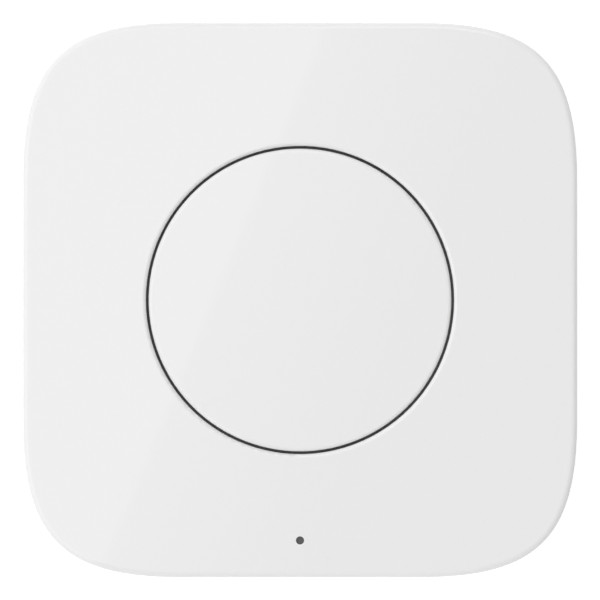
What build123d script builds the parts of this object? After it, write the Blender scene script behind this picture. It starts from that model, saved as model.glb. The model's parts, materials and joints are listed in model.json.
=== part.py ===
from build123d import *

import os
from math import sqrt

# A wireless smart button: a square white casing with soft corners, a round push button flush
# with its face, and an indicator behind a pinhole. It is stuck down by a pad on its back, and
# a bayonet door inside the pad's ring lets the coin cell out.
# Millimetres. The origin is the centre of the pad's sticky face, +Z points out of the button's
# face, and the indicator lies towards -Y.

# Casing
casing_width = 45.0
corner_reach = 12.7  # from the square's corner back to where a side starts to curve
corner_handle_share = 0.745  # of that reach, along which the curve keeps the side's direction
side_wall = 1.6
face_wall = 1.8
front_edge_radius = 0.45
rim_edge_radius = 0.2
cavity_edge_radius = 0.5
rib_wall = 0.8
rib_depth = 0.9
cut_overrun = 0.5
sides = 4

# Push button, and the collar in the casing that guides it
opening_diameter = 25.0
button_gap = 0.22  # all round between the cap and the casing
face_break_radius = 0.28  # of the two edges that face each other across that gap
collar_wall = 1.0
collar_depth = 1.2
button_travel = 0.3
cap_plate = 1.5
cap_skirt_wall = 1.0
cap_skirt_depth = 1.2
cap_post_diameter = 3.4
stake_inset = 3.2  # from the cap's edge in to the middle of a stake
stake_boss_diameter = 2.4
stake_shank_diameter = 1.1
stake_head_diameter = 1.9
stake_head_height = 0.45
stake_hole_gap = 0.05

# Flexure that carries the cap; its stakes, arms and ears are all set in fours
spokes = 4
flexure_thickness = 0.25
flexure_drop = 1.5  # from the casing's ceiling down to the flexure
inner_ring_width = 2.0
outer_ring_width = 2.0
arm_width = 1.0
arm_slit = 0.45
arm_sweep = 64.0  # degrees
arm_foot_sweep = 7.0  # degrees
ear_reach = 4.9  # from the outer ring's edge to the screw
ear_width = 3.6
boss_diameter = 3.6

# Screws: four in the flexure's ears and three in the board
screw_shank_diameter = 1.0
screw_pilot_gap = 0.05
screw_hole_gap = 0.15
screw_tip_length = 0.5
screw_tip_diameter = 0.4
screw_recess_length = 1.4
screw_recess_width = 0.35
screw_recess_depth = 0.4
screw_edge_radius = 0.3
pilot_spare = 0.4  # a pilot hole runs on past its screw's tip
flexure_screw_head_diameter = 2.6
flexure_screw_head_height = 0.8
flexure_screw_grip = 1.7
board_screw_head_diameter = 2.8
board_screw_head_height = 0.9
board_screw_grip = 2.6

# Indicator
indicator_wall_gap = 1.4  # from the inside of the casing's lower wall
pinhole_diameter = 0.66
pinhole_depth = 0.8
light_pipe_diameter = 1.2
light_pipe_gap = 0.03
light_pipe_sink = 0.25  # of its tip below the casing's face
light_pipe_lens_gap = 0.15
sleeve_length = 2.7
sleeve_width = 1.7
sleeve_wall = 0.3
sleeve_corner_radius = 0.25
led_length = 1.6
led_width = 0.8
led_base_height = 0.3
led_lens_length = 1.0
led_lens_height = 0.35

# Rear shell
plinth_inset = 0.7
plinth_depth = 1.8
plinth_edge_radius = 0.7
floor_wall = 1.6
lip_gap = 0.1
lip_wall = 1.2
lip_top_gap = 0.35  # below the board screws' heads
lip_lead_in = 0.25
floor_rib_depth = 1.2
floor_ribs = 8
board_post_diameter = 3.0
board_post_gap = 0.05

# Snap catches, one in the middle of each side
catch_width = 6.0
catch_bite = 0.45
catch_height = 0.8
catch_flat = 0.2
catch_gap = 0.12
catch_top_gap = 0.05
tongue_margin = 0.6
tongue_slit = 0.7
tongue_root = 0.7  # of lip left whole under a tongue

# Sticky pad
pad_thickness = 1.0
pad_recess = 0.4
pad_inset = 2.2
pad_edge_gap = 0.15
pad_land = 1.7  # of bare back between the door and the pad

# Coin cell
cell_diameter = 20.0
cell_height = 3.2
cell_sheet = 0.25
cell_edge_radius = 0.25
cell_crimp_width = 1.1
cell_gasket_width = 0.5
cell_gasket_rise = 0.1
cell_cap_rise = 0.3  # of the cell's cap above its can

# Battery door, and the well that it closes
door_plate = 1.3
door_rib_height = 0.15
door_rib_diameter = 15.0
door_rib_width = 1.2
door_cell_gap = 0.6
door_barrel_wall = 1.1
door_bore_gap = 0.2
door_flange_reach = 1.15
door_flange_thickness = 0.95
door_seat_gap = 0.05
door_rim_gap = 0.15
door_edge_radius = 0.2
lugs = 3
first_lug_angle = 90.0
lug_reach = 0.85
lug_thickness = 0.8
lug_sweep = 20.0  # degrees
lug_side_gap = 0.25
lug_top_gap = 0.25
notch_sweep = 25.0  # degrees
door_turn = 34.0  # degrees from locked to free
stop_sweep = 4.0  # degrees
stop_slack = 1.0  # degree
ledge_thickness = 1.0
well_wall = 1.2
well_gap = 0.25
well_top_gap = 0.25
shoulder_thickness = 0.8
coin_slot_length = 13.0
coin_slot_width = 1.9
coin_slot_depth = 0.75
mark_depth = 0.2
mark_diameter = 0.9
mark_line = 0.22
pointer_radius = 0.7
pointer_inset = 1.3  # from the flange's edge

# Circuit board and its two battery contacts
board_thickness = 1.0
board_edge_gap = 0.4
board_headroom = 3.55  # from the board up to the casing's ceiling
side_boss_rise = 7.5  # of the two side bosses, above the casing's middle
lower_boss_spread = 9.0  # sideways from the indicator
boss_edge_gap = 0.4
contact_rise = 1.0  # from the cell up to the board
contact_sheet = 0.2
minus_width = 4.2
minus_foot_length = 1.8
minus_slope_length = 3.8
minus_crest_length = 3.2
minus_bend_radius = 0.6
minus_slit_length = 9.0
minus_slit_width = 0.9
plus_width = 3.6
plus_foot_length = 2.0
plus_lean = 1.9
plus_touch_drop = 0.35  # below the can's upper edge
plus_touch_gap = 0.02
plus_tip_length = 0.3
plus_tip_flare = 0.35
plus_bend_radius = 0.25
plus_slot_gap = 0.5
plus_slot_floor_gap = 0.15

# Switch in the middle of the board
switch_width = 6.0
switch_height = 1.9
switch_corner_radius = 0.5
switch_well_diameter = 4.2
switch_well_depth = 1.1
switch_cover_inset = 0.1
switch_cover_sheet = 0.2
switch_tab_width = 1.6
switch_tab_length = 1.3
plunger_stem_diameter = 3.0
plunger_hole_gap = 0.15
plunger_stop_gap = 0.1  # between the cap's post and the cover, when pressed
plunger_flange_reach = 0.4
plunger_flange_thickness = 0.3
plunger_flange_gap = 0.03
plunger_nub_diameter = 1.2
dome_stop_height = 0.15  # of the dome when it is pressed
dome_sheet = 0.08
dome_gap = 0.15
dome_nub_gap = 0.02
leg_width = 0.7
leg_sheet = 0.15
leg_pitch = 4.5
leg_rise = 0.7
leg_reach = 0.35
leg_foot_length = 0.8
leg_bend_radius = 0.12

# Small parts on the board, at shares of half the board's width
radio_chip_width = 6.0
radio_chip_height = 0.85
radio_chip_place_shares = (-0.50, 0.34)
memory_chip_size = (3.9, 4.9)
memory_chip_height = 0.9
memory_chip_lift = 0.1
memory_chip_place_shares = (0.52, 0.34)
memory_lead_pitch = 1.27
memory_lead_width = 0.42
memory_lead_sheet = 0.15
memory_lead_rise = 0.45
memory_lead_reach = 0.2
memory_lead_foot = 0.4
memory_leads_a_side = 4
chip_bevel = 0.12
chip_dimple_diameter = 0.5
chip_dimple_depth = 0.1
chip_dimple_inset = 0.7
main_crystal_size = (3.2, 2.5)
main_crystal_height = 0.7
main_crystal_place_shares = (-0.20, 0.34)
slow_crystal_size = (2.0, 1.2)
slow_crystal_height = 0.6
slow_crystal_place_shares = (-0.50, 0.08)
crystal_lid_inset = 0.2
crystal_lid_height = 0.12
store_capacitor_size = (3.5, 2.8)
store_capacitor_height = 1.1
store_capacitor_bevel = 0.2
store_capacitor_place_shares = (0.52, -0.42)
store_foot_width = 2.2
store_foot_sheet = 0.15
store_foot_height = 0.6
small_part_length = 1.0
small_part_width = 0.5
small_part_end = 0.2
capacitor_height = 0.5
resistor_height = 0.35
capacitor_place_shares = (
    (-0.73, 0.18),
    (-0.73, 0.26),
    (-0.73, 0.34),
    (-0.20, 0.22),
    (-0.20, 0.48),
    (-0.08, 0.48),
    (0.31, 0.30),
    (0.31, 0.46),
)
resistor_place_shares = (
    (-0.24, -0.84),
    (-0.24, -0.92),
    (-0.42, -0.30),
    (-0.42, -0.38),
    (0.31, 0.22),
)
copper_film = 0.05  # drawn thick enough to keep
antenna_width = 16.0
antenna_height = 3.4
antenna_track = 0.5
antenna_feed_length = 1.8
antenna_folds = 12
antenna_edge_gap = 2.4
test_pad_diameter = 1.2
test_pad_pitch = 1.9
test_pad_place_share = 0.78
test_pads = 5

# Levels up from the pad's sticky face
back_level = pad_thickness - pad_recess
rim_level = back_level + plinth_depth
floor_level = back_level + floor_wall
door_inner_level = back_level + door_plate
ledge_level = back_level + door_flange_thickness + door_seat_gap
groove_level = ledge_level + ledge_thickness
lug_level = groove_level + door_seat_gap
door_top_level = lug_level + lug_thickness
shoulder_level = door_top_level + lug_top_gap
cell_level = door_inner_level + door_rib_height
cell_can_level = cell_level + cell_height - cell_cap_rise
cell_top_level = cell_level + cell_height
board_level = cell_top_level + contact_rise
board_top_level = board_level + board_thickness
well_top_level = board_level - well_top_gap
lip_top_level = board_level - board_screw_head_height - lip_top_gap
catch_level = lip_top_level - catch_top_gap - catch_height
plus_touch_level = cell_can_level - plus_touch_drop
plus_tip_level = plus_touch_level - plus_tip_length
switch_top_level = board_top_level + switch_height
dome_level = switch_top_level - switch_well_depth
dome_top_level = dome_level + dome_stop_height + button_travel
cover_top_level = switch_top_level + switch_cover_sheet
plunger_top_level = cover_top_level + button_travel + plunger_stop_gap
ceiling_level = board_top_level + board_headroom
front_level = ceiling_level + face_wall
cap_under_level = front_level - cap_plate
cap_rim_level = cap_under_level - cap_skirt_depth
flexure_level = ceiling_level - flexure_drop
led_top_level = board_top_level + led_base_height + led_lens_height
pipe_foot_level = led_top_level + light_pipe_lens_gap
pipe_shoulder_level = front_level - pinhole_depth - light_pipe_gap
contact_foot_level = board_level - contact_sheet / 2

# Radii and half widths
cavity_half = casing_width / 2 - side_wall
lip_half = cavity_half - lip_gap
lip_inset = side_wall + lip_gap
board_half = cavity_half - board_edge_gap
opening_radius = opening_diameter / 2
cap_radius = opening_radius - button_gap
collar_radius = opening_radius + collar_wall
stake_circle_radius = cap_radius - stake_inset
inner_ring_radius = stake_circle_radius - inner_ring_width / 2
arm_radius = inner_ring_radius + inner_ring_width + arm_slit
outer_ring_radius = arm_radius + arm_width + arm_slit
flexure_radius = outer_ring_radius + outer_ring_width
ear_circle_radius = flexure_radius + ear_reach
light_bore_radius = light_pipe_diameter / 2 + light_pipe_gap
cell_radius = cell_diameter / 2
door_inner_radius = cell_radius + door_cell_gap
door_barrel_radius = door_inner_radius + door_barrel_wall
door_bore_radius = door_barrel_radius + door_bore_gap
door_flange_radius = door_barrel_radius + door_flange_reach
door_seat_radius = door_flange_radius + door_rim_gap
lug_radius = door_barrel_radius + lug_reach
groove_radius = lug_radius + lug_side_gap
tower_radius = groove_radius + well_wall
well_radius = cell_radius + well_gap
pad_hole_radius = door_seat_radius + pad_land
mark_circle_radius = door_seat_radius + (pad_land - pad_edge_gap) / 2

# Places, seen from the front
indicator_place = (0, indicator_wall_gap - cavity_half)
board_boss_offset = board_half - boss_edge_gap - boss_diameter / 2
ear_places = [
    Vector(ear_circle_radius, 0).rotate(Axis.Z, 360 / spokes * (ear + 1 / 2))
    for ear in range(spokes)
]
board_boss_places = [
    Vector(board_boss_offset, side_boss_rise),
    Vector(-board_boss_offset, side_boss_rise),
    Vector(lower_boss_spread, -board_boss_offset),
]
lug_angles = [first_lug_angle + 360 / lugs * lug for lug in range(lugs)]

# Drawing the outline in by a distance takes this share of it off the corners' reach, so that
# a wall is as thick on the diagonal as on the sides
corner_shrink_share = 8 * (1 - sqrt(1 / 2)) / (4 - 3 * corner_handle_share)


def outline(inset):
    """Give the casing's outline, moved in by a distance: straight sides and four soft corners."""
    half = casing_width / 2 - inset
    reach = corner_reach - inset * corner_shrink_share
    run = half - reach
    handle = run + reach * corner_handle_share
    corner = [(half, run), (half, handle), (handle, half), (run, half)]
    with BuildSketch() as profile:
        with BuildLine():
            for side in range(sides):
                turned = [Vector(x, y).rotate(Axis.Z, 90 * side) for x, y in corner]
                Bezier(*turned)
                Line(turned[-1], Vector(-run, half).rotate(Axis.Z, 90 * side))
        make_face()
    return profile.sketch


def sector(inner_radius, outer_radius, middle_angle, sweep):
    """Give the stretch of a flat ring that lies around one angle."""
    start_angle = middle_angle - sweep / 2
    with BuildSketch() as profile:
        with BuildLine():
            inner = CenterArc((0, 0), inner_radius, start_angle, sweep)
            outer = CenterArc((0, 0), outer_radius, start_angle, sweep)
            Line(inner @ 0, outer @ 0)
            Line(inner @ 1, outer @ 1)
        make_face()
    return profile.sketch


def at_share(place_shares):
    """Give the place on the board that a pair of shares of its half width stands for."""
    return Vector(place_shares[0] * board_half, place_shares[1] * board_half)


def at_level(places, level):
    """Lift flat places to a level."""
    return [Vector(place.X, place.Y, level) for place in places]


# Front shell: the gloss face with the button's opening, the collar that guides the cap, the
# bosses for the flexure and the board, and the pockets for the rear shell's catches
with BuildPart() as front_shell:
    with BuildSketch(Plane.XY.offset(rim_level)):
        add(outline(0))
    extrude(amount=front_level - rim_level)
    fillet(front_shell.edges().group_by(Axis.Z)[-1], front_edge_radius)
    fillet(front_shell.edges().group_by(Axis.Z)[0], rim_edge_radius)
    with BuildSketch(Plane.XY.offset(rim_level)):
        add(outline(side_wall))
    extrude(amount=ceiling_level - rim_level, mode=Mode.SUBTRACT)
    ceiling = front_shell.faces().filter_by(Axis.Z).sort_by(Axis.Z)[-2]
    fillet(ceiling.edges(), cavity_edge_radius)

    with BuildSketch(Plane.XY.offset(ceiling_level)):
        Circle(collar_radius)
    extrude(amount=-collar_depth)
    with BuildSketch(Plane.XY.offset(ceiling_level)):
        with PolarLocations(ear_circle_radius / 2, spokes, start_angle=180 / spokes):
            Rectangle(ear_circle_radius, rib_wall)
        with Locations((0, side_boss_rise)):
            Rectangle(2 * board_boss_offset, rib_wall)
        with Locations((lower_boss_spread, -board_boss_offset / 2)):
            Rectangle(rib_wall, board_boss_offset)
    extrude(amount=-rib_depth)
    with BuildSketch(Plane.XY.offset(ceiling_level)):
        with Locations(*ear_places):
            Circle(boss_diameter / 2)
    extrude(amount=-flexure_drop)
    with BuildSketch(Plane.XY.offset(board_top_level)):
        with Locations(*board_boss_places):
            Circle(boss_diameter / 2)
    extrude(amount=board_headroom)
    with Locations((0, 0, front_level)):
        Hole(opening_radius)
    face = front_shell.faces().sort_by(Axis.Z)[-1]
    fillet(face.edges().filter_by(GeomType.CIRCLE), face_break_radius)

    with Locations(*at_level(ear_places, flexure_level)):
        Cylinder(
            screw_shank_diameter / 2 + screw_pilot_gap,
            flexure_screw_grip - flexure_thickness + pilot_spare,
            align=(Align.CENTER, Align.CENTER, Align.MIN),
            mode=Mode.SUBTRACT,
        )
    with Locations(*at_level(board_boss_places, board_top_level)):
        Cylinder(
            screw_shank_diameter / 2 + screw_pilot_gap,
            board_screw_grip - board_thickness + pilot_spare,
            align=(Align.CENTER, Align.CENTER, Align.MIN),
            mode=Mode.SUBTRACT,
        )

    with BuildSketch(Plane.XY.offset(front_level)):
        with Locations(indicator_place):
            Circle(pinhole_diameter / 2)
    extrude(amount=-face_wall, mode=Mode.SUBTRACT)
    with BuildSketch(Plane.XY.offset(ceiling_level)):
        with Locations(indicator_place):
            Circle(light_bore_radius)
    extrude(amount=face_wall - pinhole_depth, mode=Mode.SUBTRACT)

    with BuildSketch(Plane.XY.offset(catch_level - catch_gap)):
        with PolarLocations(cavity_half, sides):
            Rectangle(2 * (catch_bite + catch_gap - lip_gap), catch_width + 2 * catch_gap)
    extrude(amount=catch_height + 2 * catch_gap, mode=Mode.SUBTRACT)

# Button cap: a flat disc with a stiffening skirt and cross ribs, a post that pushes the
# switch's plunger, and four melted-over stakes that hold the flexure
with BuildPart() as button_cap:
    with BuildSketch(Plane.XY.offset(cap_rim_level)):
        Circle(cap_radius)
    extrude(amount=cap_skirt_depth + cap_plate)
    fillet(button_cap.edges().group_by(Axis.Z)[-1], face_break_radius)
    with BuildSketch(Plane.XY.offset(cap_rim_level)):
        Circle(cap_radius - cap_skirt_wall)
    extrude(amount=cap_skirt_depth, mode=Mode.SUBTRACT)
    with BuildSketch(Plane.XY.offset(cap_under_level)):
        Rectangle(2 * stake_circle_radius, rib_wall)
        Rectangle(rib_wall, 2 * stake_circle_radius)
    extrude(amount=-rib_depth)
    with BuildSketch(Plane.XY.offset(plunger_top_level)):
        Circle(cap_post_diameter / 2)
    extrude(amount=cap_under_level - plunger_top_level)
    with BuildSketch(Plane.XY.offset(flexure_level)):
        with PolarLocations(stake_circle_radius, spokes):
            Circle(stake_boss_diameter / 2)
    extrude(amount=cap_under_level - flexure_level)
    with BuildSketch(Plane.XY.offset(flexure_level)):
        with PolarLocations(stake_circle_radius, spokes):
            Circle(stake_shank_diameter / 2)
    extrude(amount=-flexure_thickness)
    with BuildSketch(Plane.XY.offset(flexure_level - flexure_thickness)):
        with PolarLocations(stake_circle_radius, spokes):
            Circle(stake_head_diameter / 2)
    extrude(amount=-stake_head_height)
    fillet(button_cap.edges().group_by(Axis.Z)[0], stake_head_height / 2)

# Flexure: a thin spring plate, whose inner ring moves with the cap on four curved arms
with BuildPart() as button_flexure:
    with BuildSketch(Plane.XY.offset(flexure_level)):
        Circle(flexure_radius)
        with PolarLocations(ear_circle_radius / 2, spokes, start_angle=180 / spokes):
            Rectangle(ear_circle_radius, ear_width)
        with Locations(*ear_places):
            Circle(ear_width / 2)
        Circle(outer_ring_radius, mode=Mode.SUBTRACT)
        Circle(inner_ring_radius + inner_ring_width)
        Circle(inner_ring_radius, mode=Mode.SUBTRACT)
        for arm in range(spokes):
            arm_angle = 360 / spokes * arm
            foot_angle = (arm_sweep - arm_foot_sweep) / 2
            arm_middle = arm_radius + arm_width / 2
            outer_middle = outer_ring_radius + outer_ring_width / 2
            add(sector(arm_radius, arm_radius + arm_width, arm_angle, arm_sweep))
            add(sector(stake_circle_radius, arm_middle, arm_angle - foot_angle, arm_foot_sweep))
            add(sector(arm_middle, outer_middle, arm_angle + foot_angle, arm_foot_sweep))
        with PolarLocations(stake_circle_radius, spokes):
            Circle(stake_shank_diameter / 2 + stake_hole_gap, mode=Mode.SUBTRACT)
        with Locations(*ear_places):
            Circle(screw_shank_diameter / 2 + screw_hole_gap, mode=Mode.SUBTRACT)
    extrude(amount=-flexure_thickness)


def build_screws(places, seat_level, head_diameter, head_height, grip):
    """Build cross-recessed pan-head screws that point up, their heads' seats at one level."""
    with BuildPart() as screws:
        with BuildSketch(Plane.XY.offset(seat_level)):
            with Locations(*places):
                Circle(head_diameter / 2)
        extrude(amount=-head_height)
        fillet(screws.edges().group_by(Axis.Z)[0], screw_edge_radius)
        with BuildSketch(Plane.XY.offset(seat_level)):
            with Locations(*places):
                Circle(screw_shank_diameter / 2)
        extrude(amount=grip - screw_tip_length)
        with Locations(*at_level(places, seat_level + grip - screw_tip_length)):
            Cone(
                screw_shank_diameter / 2,
                screw_tip_diameter / 2,
                screw_tip_length,
                align=(Align.CENTER, Align.CENTER, Align.MIN),
            )
        with BuildSketch(Plane.XY.offset(seat_level - head_height)):
            with Locations(*places):
                Rectangle(screw_recess_length, screw_recess_width)
                Rectangle(screw_recess_width, screw_recess_length)
        extrude(amount=screw_recess_depth, mode=Mode.SUBTRACT)
    return screws


flexure_screws = build_screws(
    ear_places,
    flexure_level - flexure_thickness,
    flexure_screw_head_diameter,
    flexure_screw_head_height,
    flexure_screw_grip,
)
board_screws = build_screws(
    board_boss_places,
    board_level,
    board_screw_head_diameter,
    board_screw_head_height,
    board_screw_grip,
)

# Light pipe, with a thin tip in the pinhole and a body in the sleeve
with BuildPart() as light_pipe:
    with BuildSketch(Plane.XY.offset(pipe_foot_level)):
        with Locations(indicator_place):
            Circle(light_pipe_diameter / 2)
    extrude(amount=pipe_shoulder_level - pipe_foot_level)
    with BuildSketch(Plane.XY.offset(pipe_shoulder_level)):
        with Locations(indicator_place):
            Circle(pinhole_diameter / 2 - light_pipe_gap)
    extrude(amount=front_level - light_pipe_sink - pipe_shoulder_level)

# Dark sleeve around the pipe, with a wider window over the indicator at its foot
with BuildPart() as light_sleeve:
    with BuildSketch(Plane.XY.offset(board_top_level)):
        with Locations(indicator_place):
            RectangleRounded(sleeve_length, sleeve_width, sleeve_corner_radius)
    extrude(amount=board_headroom)
    with BuildSketch(Plane.XY.offset(board_top_level)):
        with Locations(indicator_place):
            Circle(light_bore_radius)
    extrude(amount=board_headroom, mode=Mode.SUBTRACT)
    with BuildSketch(Plane.XY.offset(board_top_level)):
        with Locations(indicator_place):
            Rectangle(sleeve_length - 2 * sleeve_wall, sleeve_width - 2 * sleeve_wall)
    extrude(amount=pipe_foot_level - board_top_level, mode=Mode.SUBTRACT)

# Rear shell: a ribbed floor and plinth, a lip with a snap tongue on each side, and the round
# tower that holds the cell and locks its door
with BuildPart() as rear_shell:
    with BuildSketch(Plane.XY.offset(back_level)):
        add(outline(plinth_inset))
    extrude(amount=plinth_depth)
    fillet(rear_shell.edges().group_by(Axis.Z)[0], plinth_edge_radius)
    with BuildSketch(Plane.XY.offset(rim_level)):
        add(outline(lip_inset))
    extrude(amount=lip_top_level - rim_level)
    chamfer(rear_shell.edges().group_by(Axis.Z)[-1], lip_lead_in)
    with BuildSketch(Plane.XY.offset(floor_level)):
        add(outline(lip_inset + lip_wall))
    extrude(amount=lip_top_level - floor_level, mode=Mode.SUBTRACT)

    with BuildSketch(Plane.XZ):
        with BuildLine():
            Polyline(
                (lip_half - lip_wall / 2, catch_level),
                (lip_half, catch_level),
                (lip_half + catch_bite, catch_level + catch_bite / 2),
                (lip_half + catch_bite, catch_level + catch_bite / 2 + catch_flat),
                (lip_half - lip_lead_in, catch_level + catch_height),
                (lip_half - lip_wall / 2, catch_level + catch_height),
                close=True,
            )
        make_face()
    catch = extrude(amount=catch_width / 2, both=True, mode=Mode.PRIVATE)
    with PolarLocations(0, sides):
        add(catch)
    with BuildSketch(Plane.XY.offset(rim_level + tongue_root)):
        slit_offset = catch_width / 2 + tongue_margin + tongue_slit / 2
        with PolarLocations(lip_half - lip_wall / 2, sides):
            with Locations((0, slit_offset), (0, -slit_offset)):
                Rectangle(lip_wall + 2 * cut_overrun, tongue_slit)
    extrude(amount=lip_top_level - rim_level, mode=Mode.SUBTRACT)

    with BuildSketch(Plane.XY.offset(back_level)):
        add(outline(pad_inset - pad_edge_gap))
        Circle(pad_hole_radius - pad_edge_gap, mode=Mode.SUBTRACT)
    extrude(amount=pad_recess, mode=Mode.SUBTRACT)

    with BuildSketch(Plane.XY.offset(floor_level)):
        with PolarLocations(casing_width / 4, floor_ribs, start_angle=180 / floor_ribs):
            Rectangle(casing_width, rib_wall)
        add(outline(lip_inset + lip_wall / 2), mode=Mode.INTERSECT)
    extrude(amount=floor_rib_depth)
    with BuildSketch(Plane.XY.offset(floor_level)):
        with Locations(*ear_places):
            Circle(board_post_diameter / 2)
    extrude(amount=board_level - board_post_gap - floor_level)

    with BuildSketch(Plane.XY.offset(floor_level)):
        Circle(tower_radius)
    extrude(amount=shoulder_level + shoulder_thickness - floor_level)
    with BuildSketch(Plane.XY.offset(floor_level)):
        Circle(well_radius + well_wall)
    extrude(amount=well_top_level - floor_level)
    with BuildSketch(Plane.XZ):
        with BuildLine():
            Polyline(
                (0, back_level - cut_overrun),
                (door_seat_radius, back_level - cut_overrun),
                (door_seat_radius, ledge_level),
                (door_bore_radius, ledge_level),
                (door_bore_radius, groove_level),
                (groove_radius, groove_level),
                (groove_radius, shoulder_level),
                (well_radius, shoulder_level),
                (well_radius, well_top_level + cut_overrun),
                (0, well_top_level + cut_overrun),
                close=True,
            )
        make_face()
    revolve(axis=Axis.Z, mode=Mode.SUBTRACT)

    with BuildSketch(Plane.XY.offset(ledge_level)):
        for angle in lug_angles:
            add(sector(door_barrel_radius, groove_radius, angle - door_turn, notch_sweep))
    extrude(amount=ledge_thickness, mode=Mode.SUBTRACT)
    with BuildSketch(Plane.XY.offset(groove_level)):
        stop_offset = lug_sweep / 2 + stop_slack + stop_sweep / 2
        stop_radius = groove_radius + well_wall / 2
        for angle in lug_angles:
            for stop_angle in (angle + stop_offset, angle - door_turn - stop_offset):
                add(sector(door_bore_radius, stop_radius, stop_angle, stop_sweep))
    extrude(amount=shoulder_level - groove_level)

    with BuildSketch(Plane.XY.offset(plus_tip_level - plus_slot_floor_gap)):
        with Locations((well_radius + well_wall / 2, 0)):
            Rectangle(well_wall + 2 * cut_overrun, plus_width + 2 * plus_slot_gap)
    extrude(amount=well_top_level - plus_tip_level + cut_overrun, mode=Mode.SUBTRACT)

    with BuildSketch(Plane.XY.offset(back_level)):
        with PolarLocations(mark_circle_radius, 1, start_angle=first_lug_angle):
            Circle(mark_diameter / 2)
        with PolarLocations(mark_circle_radius, 1, start_angle=first_lug_angle - door_turn):
            Circle(mark_diameter / 2)
            Circle(mark_diameter / 2 - mark_line, mode=Mode.SUBTRACT)
    extrude(amount=mark_depth, mode=Mode.SUBTRACT)

# Battery door: a coin-slotted disc with a barrel inside, and three lugs that turn under the
# rear shell's ledge
with BuildPart() as battery_door:
    with BuildSketch(Plane.XY.offset(back_level)):
        Circle(door_flange_radius)
    extrude(amount=door_flange_thickness)
    fillet(battery_door.edges().group_by(Axis.Z)[0], door_edge_radius)
    with BuildSketch(Plane.XY.offset(back_level + door_flange_thickness)):
        Circle(door_barrel_radius)
    extrude(amount=door_top_level - back_level - door_flange_thickness)
    with BuildSketch(Plane.XY.offset(lug_level)):
        lug_root_radius = door_barrel_radius - door_barrel_wall / 2
        for angle in lug_angles:
            add(sector(lug_root_radius, lug_radius, angle, lug_sweep))
    extrude(amount=lug_thickness)
    with BuildSketch(Plane.XY.offset(door_inner_level)):
        Circle(door_inner_radius)
    extrude(amount=door_top_level - door_inner_level, mode=Mode.SUBTRACT)
    with BuildSketch(Plane.XY.offset(door_inner_level)):
        Circle((door_rib_diameter + door_rib_width) / 2)
        Circle((door_rib_diameter - door_rib_width) / 2, mode=Mode.SUBTRACT)
    extrude(amount=door_rib_height)
    with BuildSketch(Plane.XY.offset(back_level)):
        SlotOverall(coin_slot_length, coin_slot_width)
    extrude(amount=coin_slot_depth, mode=Mode.SUBTRACT)
    with BuildSketch(Plane.XY.offset(back_level)):
        pointer_circle_radius = door_flange_radius - pointer_inset
        with PolarLocations(pointer_circle_radius, 1, start_angle=first_lug_angle):
            RegularPolygon(pointer_radius, 3)
    extrude(amount=mark_depth, mode=Mode.SUBTRACT)

# Sticky foam pad, with a round hole that leaves the door free
with BuildPart() as adhesive_pad:
    with BuildSketch():
        add(outline(pad_inset))
        Circle(pad_hole_radius, mode=Mode.SUBTRACT)
    extrude(amount=pad_thickness)

# Coin cell: a can crimped over a gasket, which holds the cap, and the filling as one body
can_radius = cell_radius - cell_sheet
mouth_radius = cell_radius - cell_crimp_width
gasket_radius = can_radius - cell_gasket_width
cap_top_radius = mouth_radius - cell_gasket_width
can_floor_level = cell_level + cell_sheet
crimp_level = cell_can_level - cell_sheet
cap_flange_level = crimp_level - cell_sheet

with BuildPart() as cell_can:
    with BuildSketch(Plane.XY.offset(cell_level)):
        Circle(cell_radius)
    extrude(amount=cell_can_level - cell_level)
    fillet(cell_can.edges().filter_by(GeomType.CIRCLE), cell_edge_radius)
    with BuildSketch(Plane.XY.offset(can_floor_level)):
        Circle(can_radius)
    extrude(amount=crimp_level - can_floor_level, mode=Mode.SUBTRACT)
    with BuildSketch(Plane.XY.offset(crimp_level)):
        Circle(mouth_radius)
    extrude(amount=cell_sheet + cut_overrun, mode=Mode.SUBTRACT)

with BuildPart() as cell_gasket:
    with BuildSketch(Plane.XZ):
        with BuildLine():
            Polyline(
                (gasket_radius, can_floor_level),
                (can_radius, can_floor_level),
                (can_radius, crimp_level),
                (mouth_radius, crimp_level),
                (mouth_radius, cell_can_level + cell_gasket_rise),
                (cap_top_radius, cell_can_level + cell_gasket_rise),
                (cap_top_radius, cap_flange_level),
                (gasket_radius, cap_flange_level),
                close=True,
            )
        make_face()
    revolve(axis=Axis.Z)

with BuildPart() as cell_cap:
    with BuildSketch(Plane.XY.offset(cap_flange_level - cell_sheet)):
        Circle(gasket_radius)
    extrude(amount=cell_sheet)
    with BuildSketch(Plane.XY.offset(cap_flange_level)):
        Circle(cap_top_radius)
    extrude(amount=cell_top_level - cap_flange_level)
    fillet(cell_cap.edges().group_by(Axis.Z)[-1], cell_edge_radius)
    with BuildSketch(Plane.XY.offset(cap_flange_level - cell_sheet)):
        Circle(cap_top_radius - cell_sheet)
    extrude(amount=cell_top_level - cap_flange_level, mode=Mode.SUBTRACT)

with BuildPart() as cell_core:
    with BuildSketch(Plane.XY.offset(can_floor_level)):
        Circle(gasket_radius)
    extrude(amount=cap_flange_level - cell_sheet - can_floor_level)
    with BuildSketch(Plane.XY.offset(can_floor_level)):
        Circle(cap_top_radius - cell_sheet)
    extrude(amount=cell_top_level - cell_sheet - can_floor_level)

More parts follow.
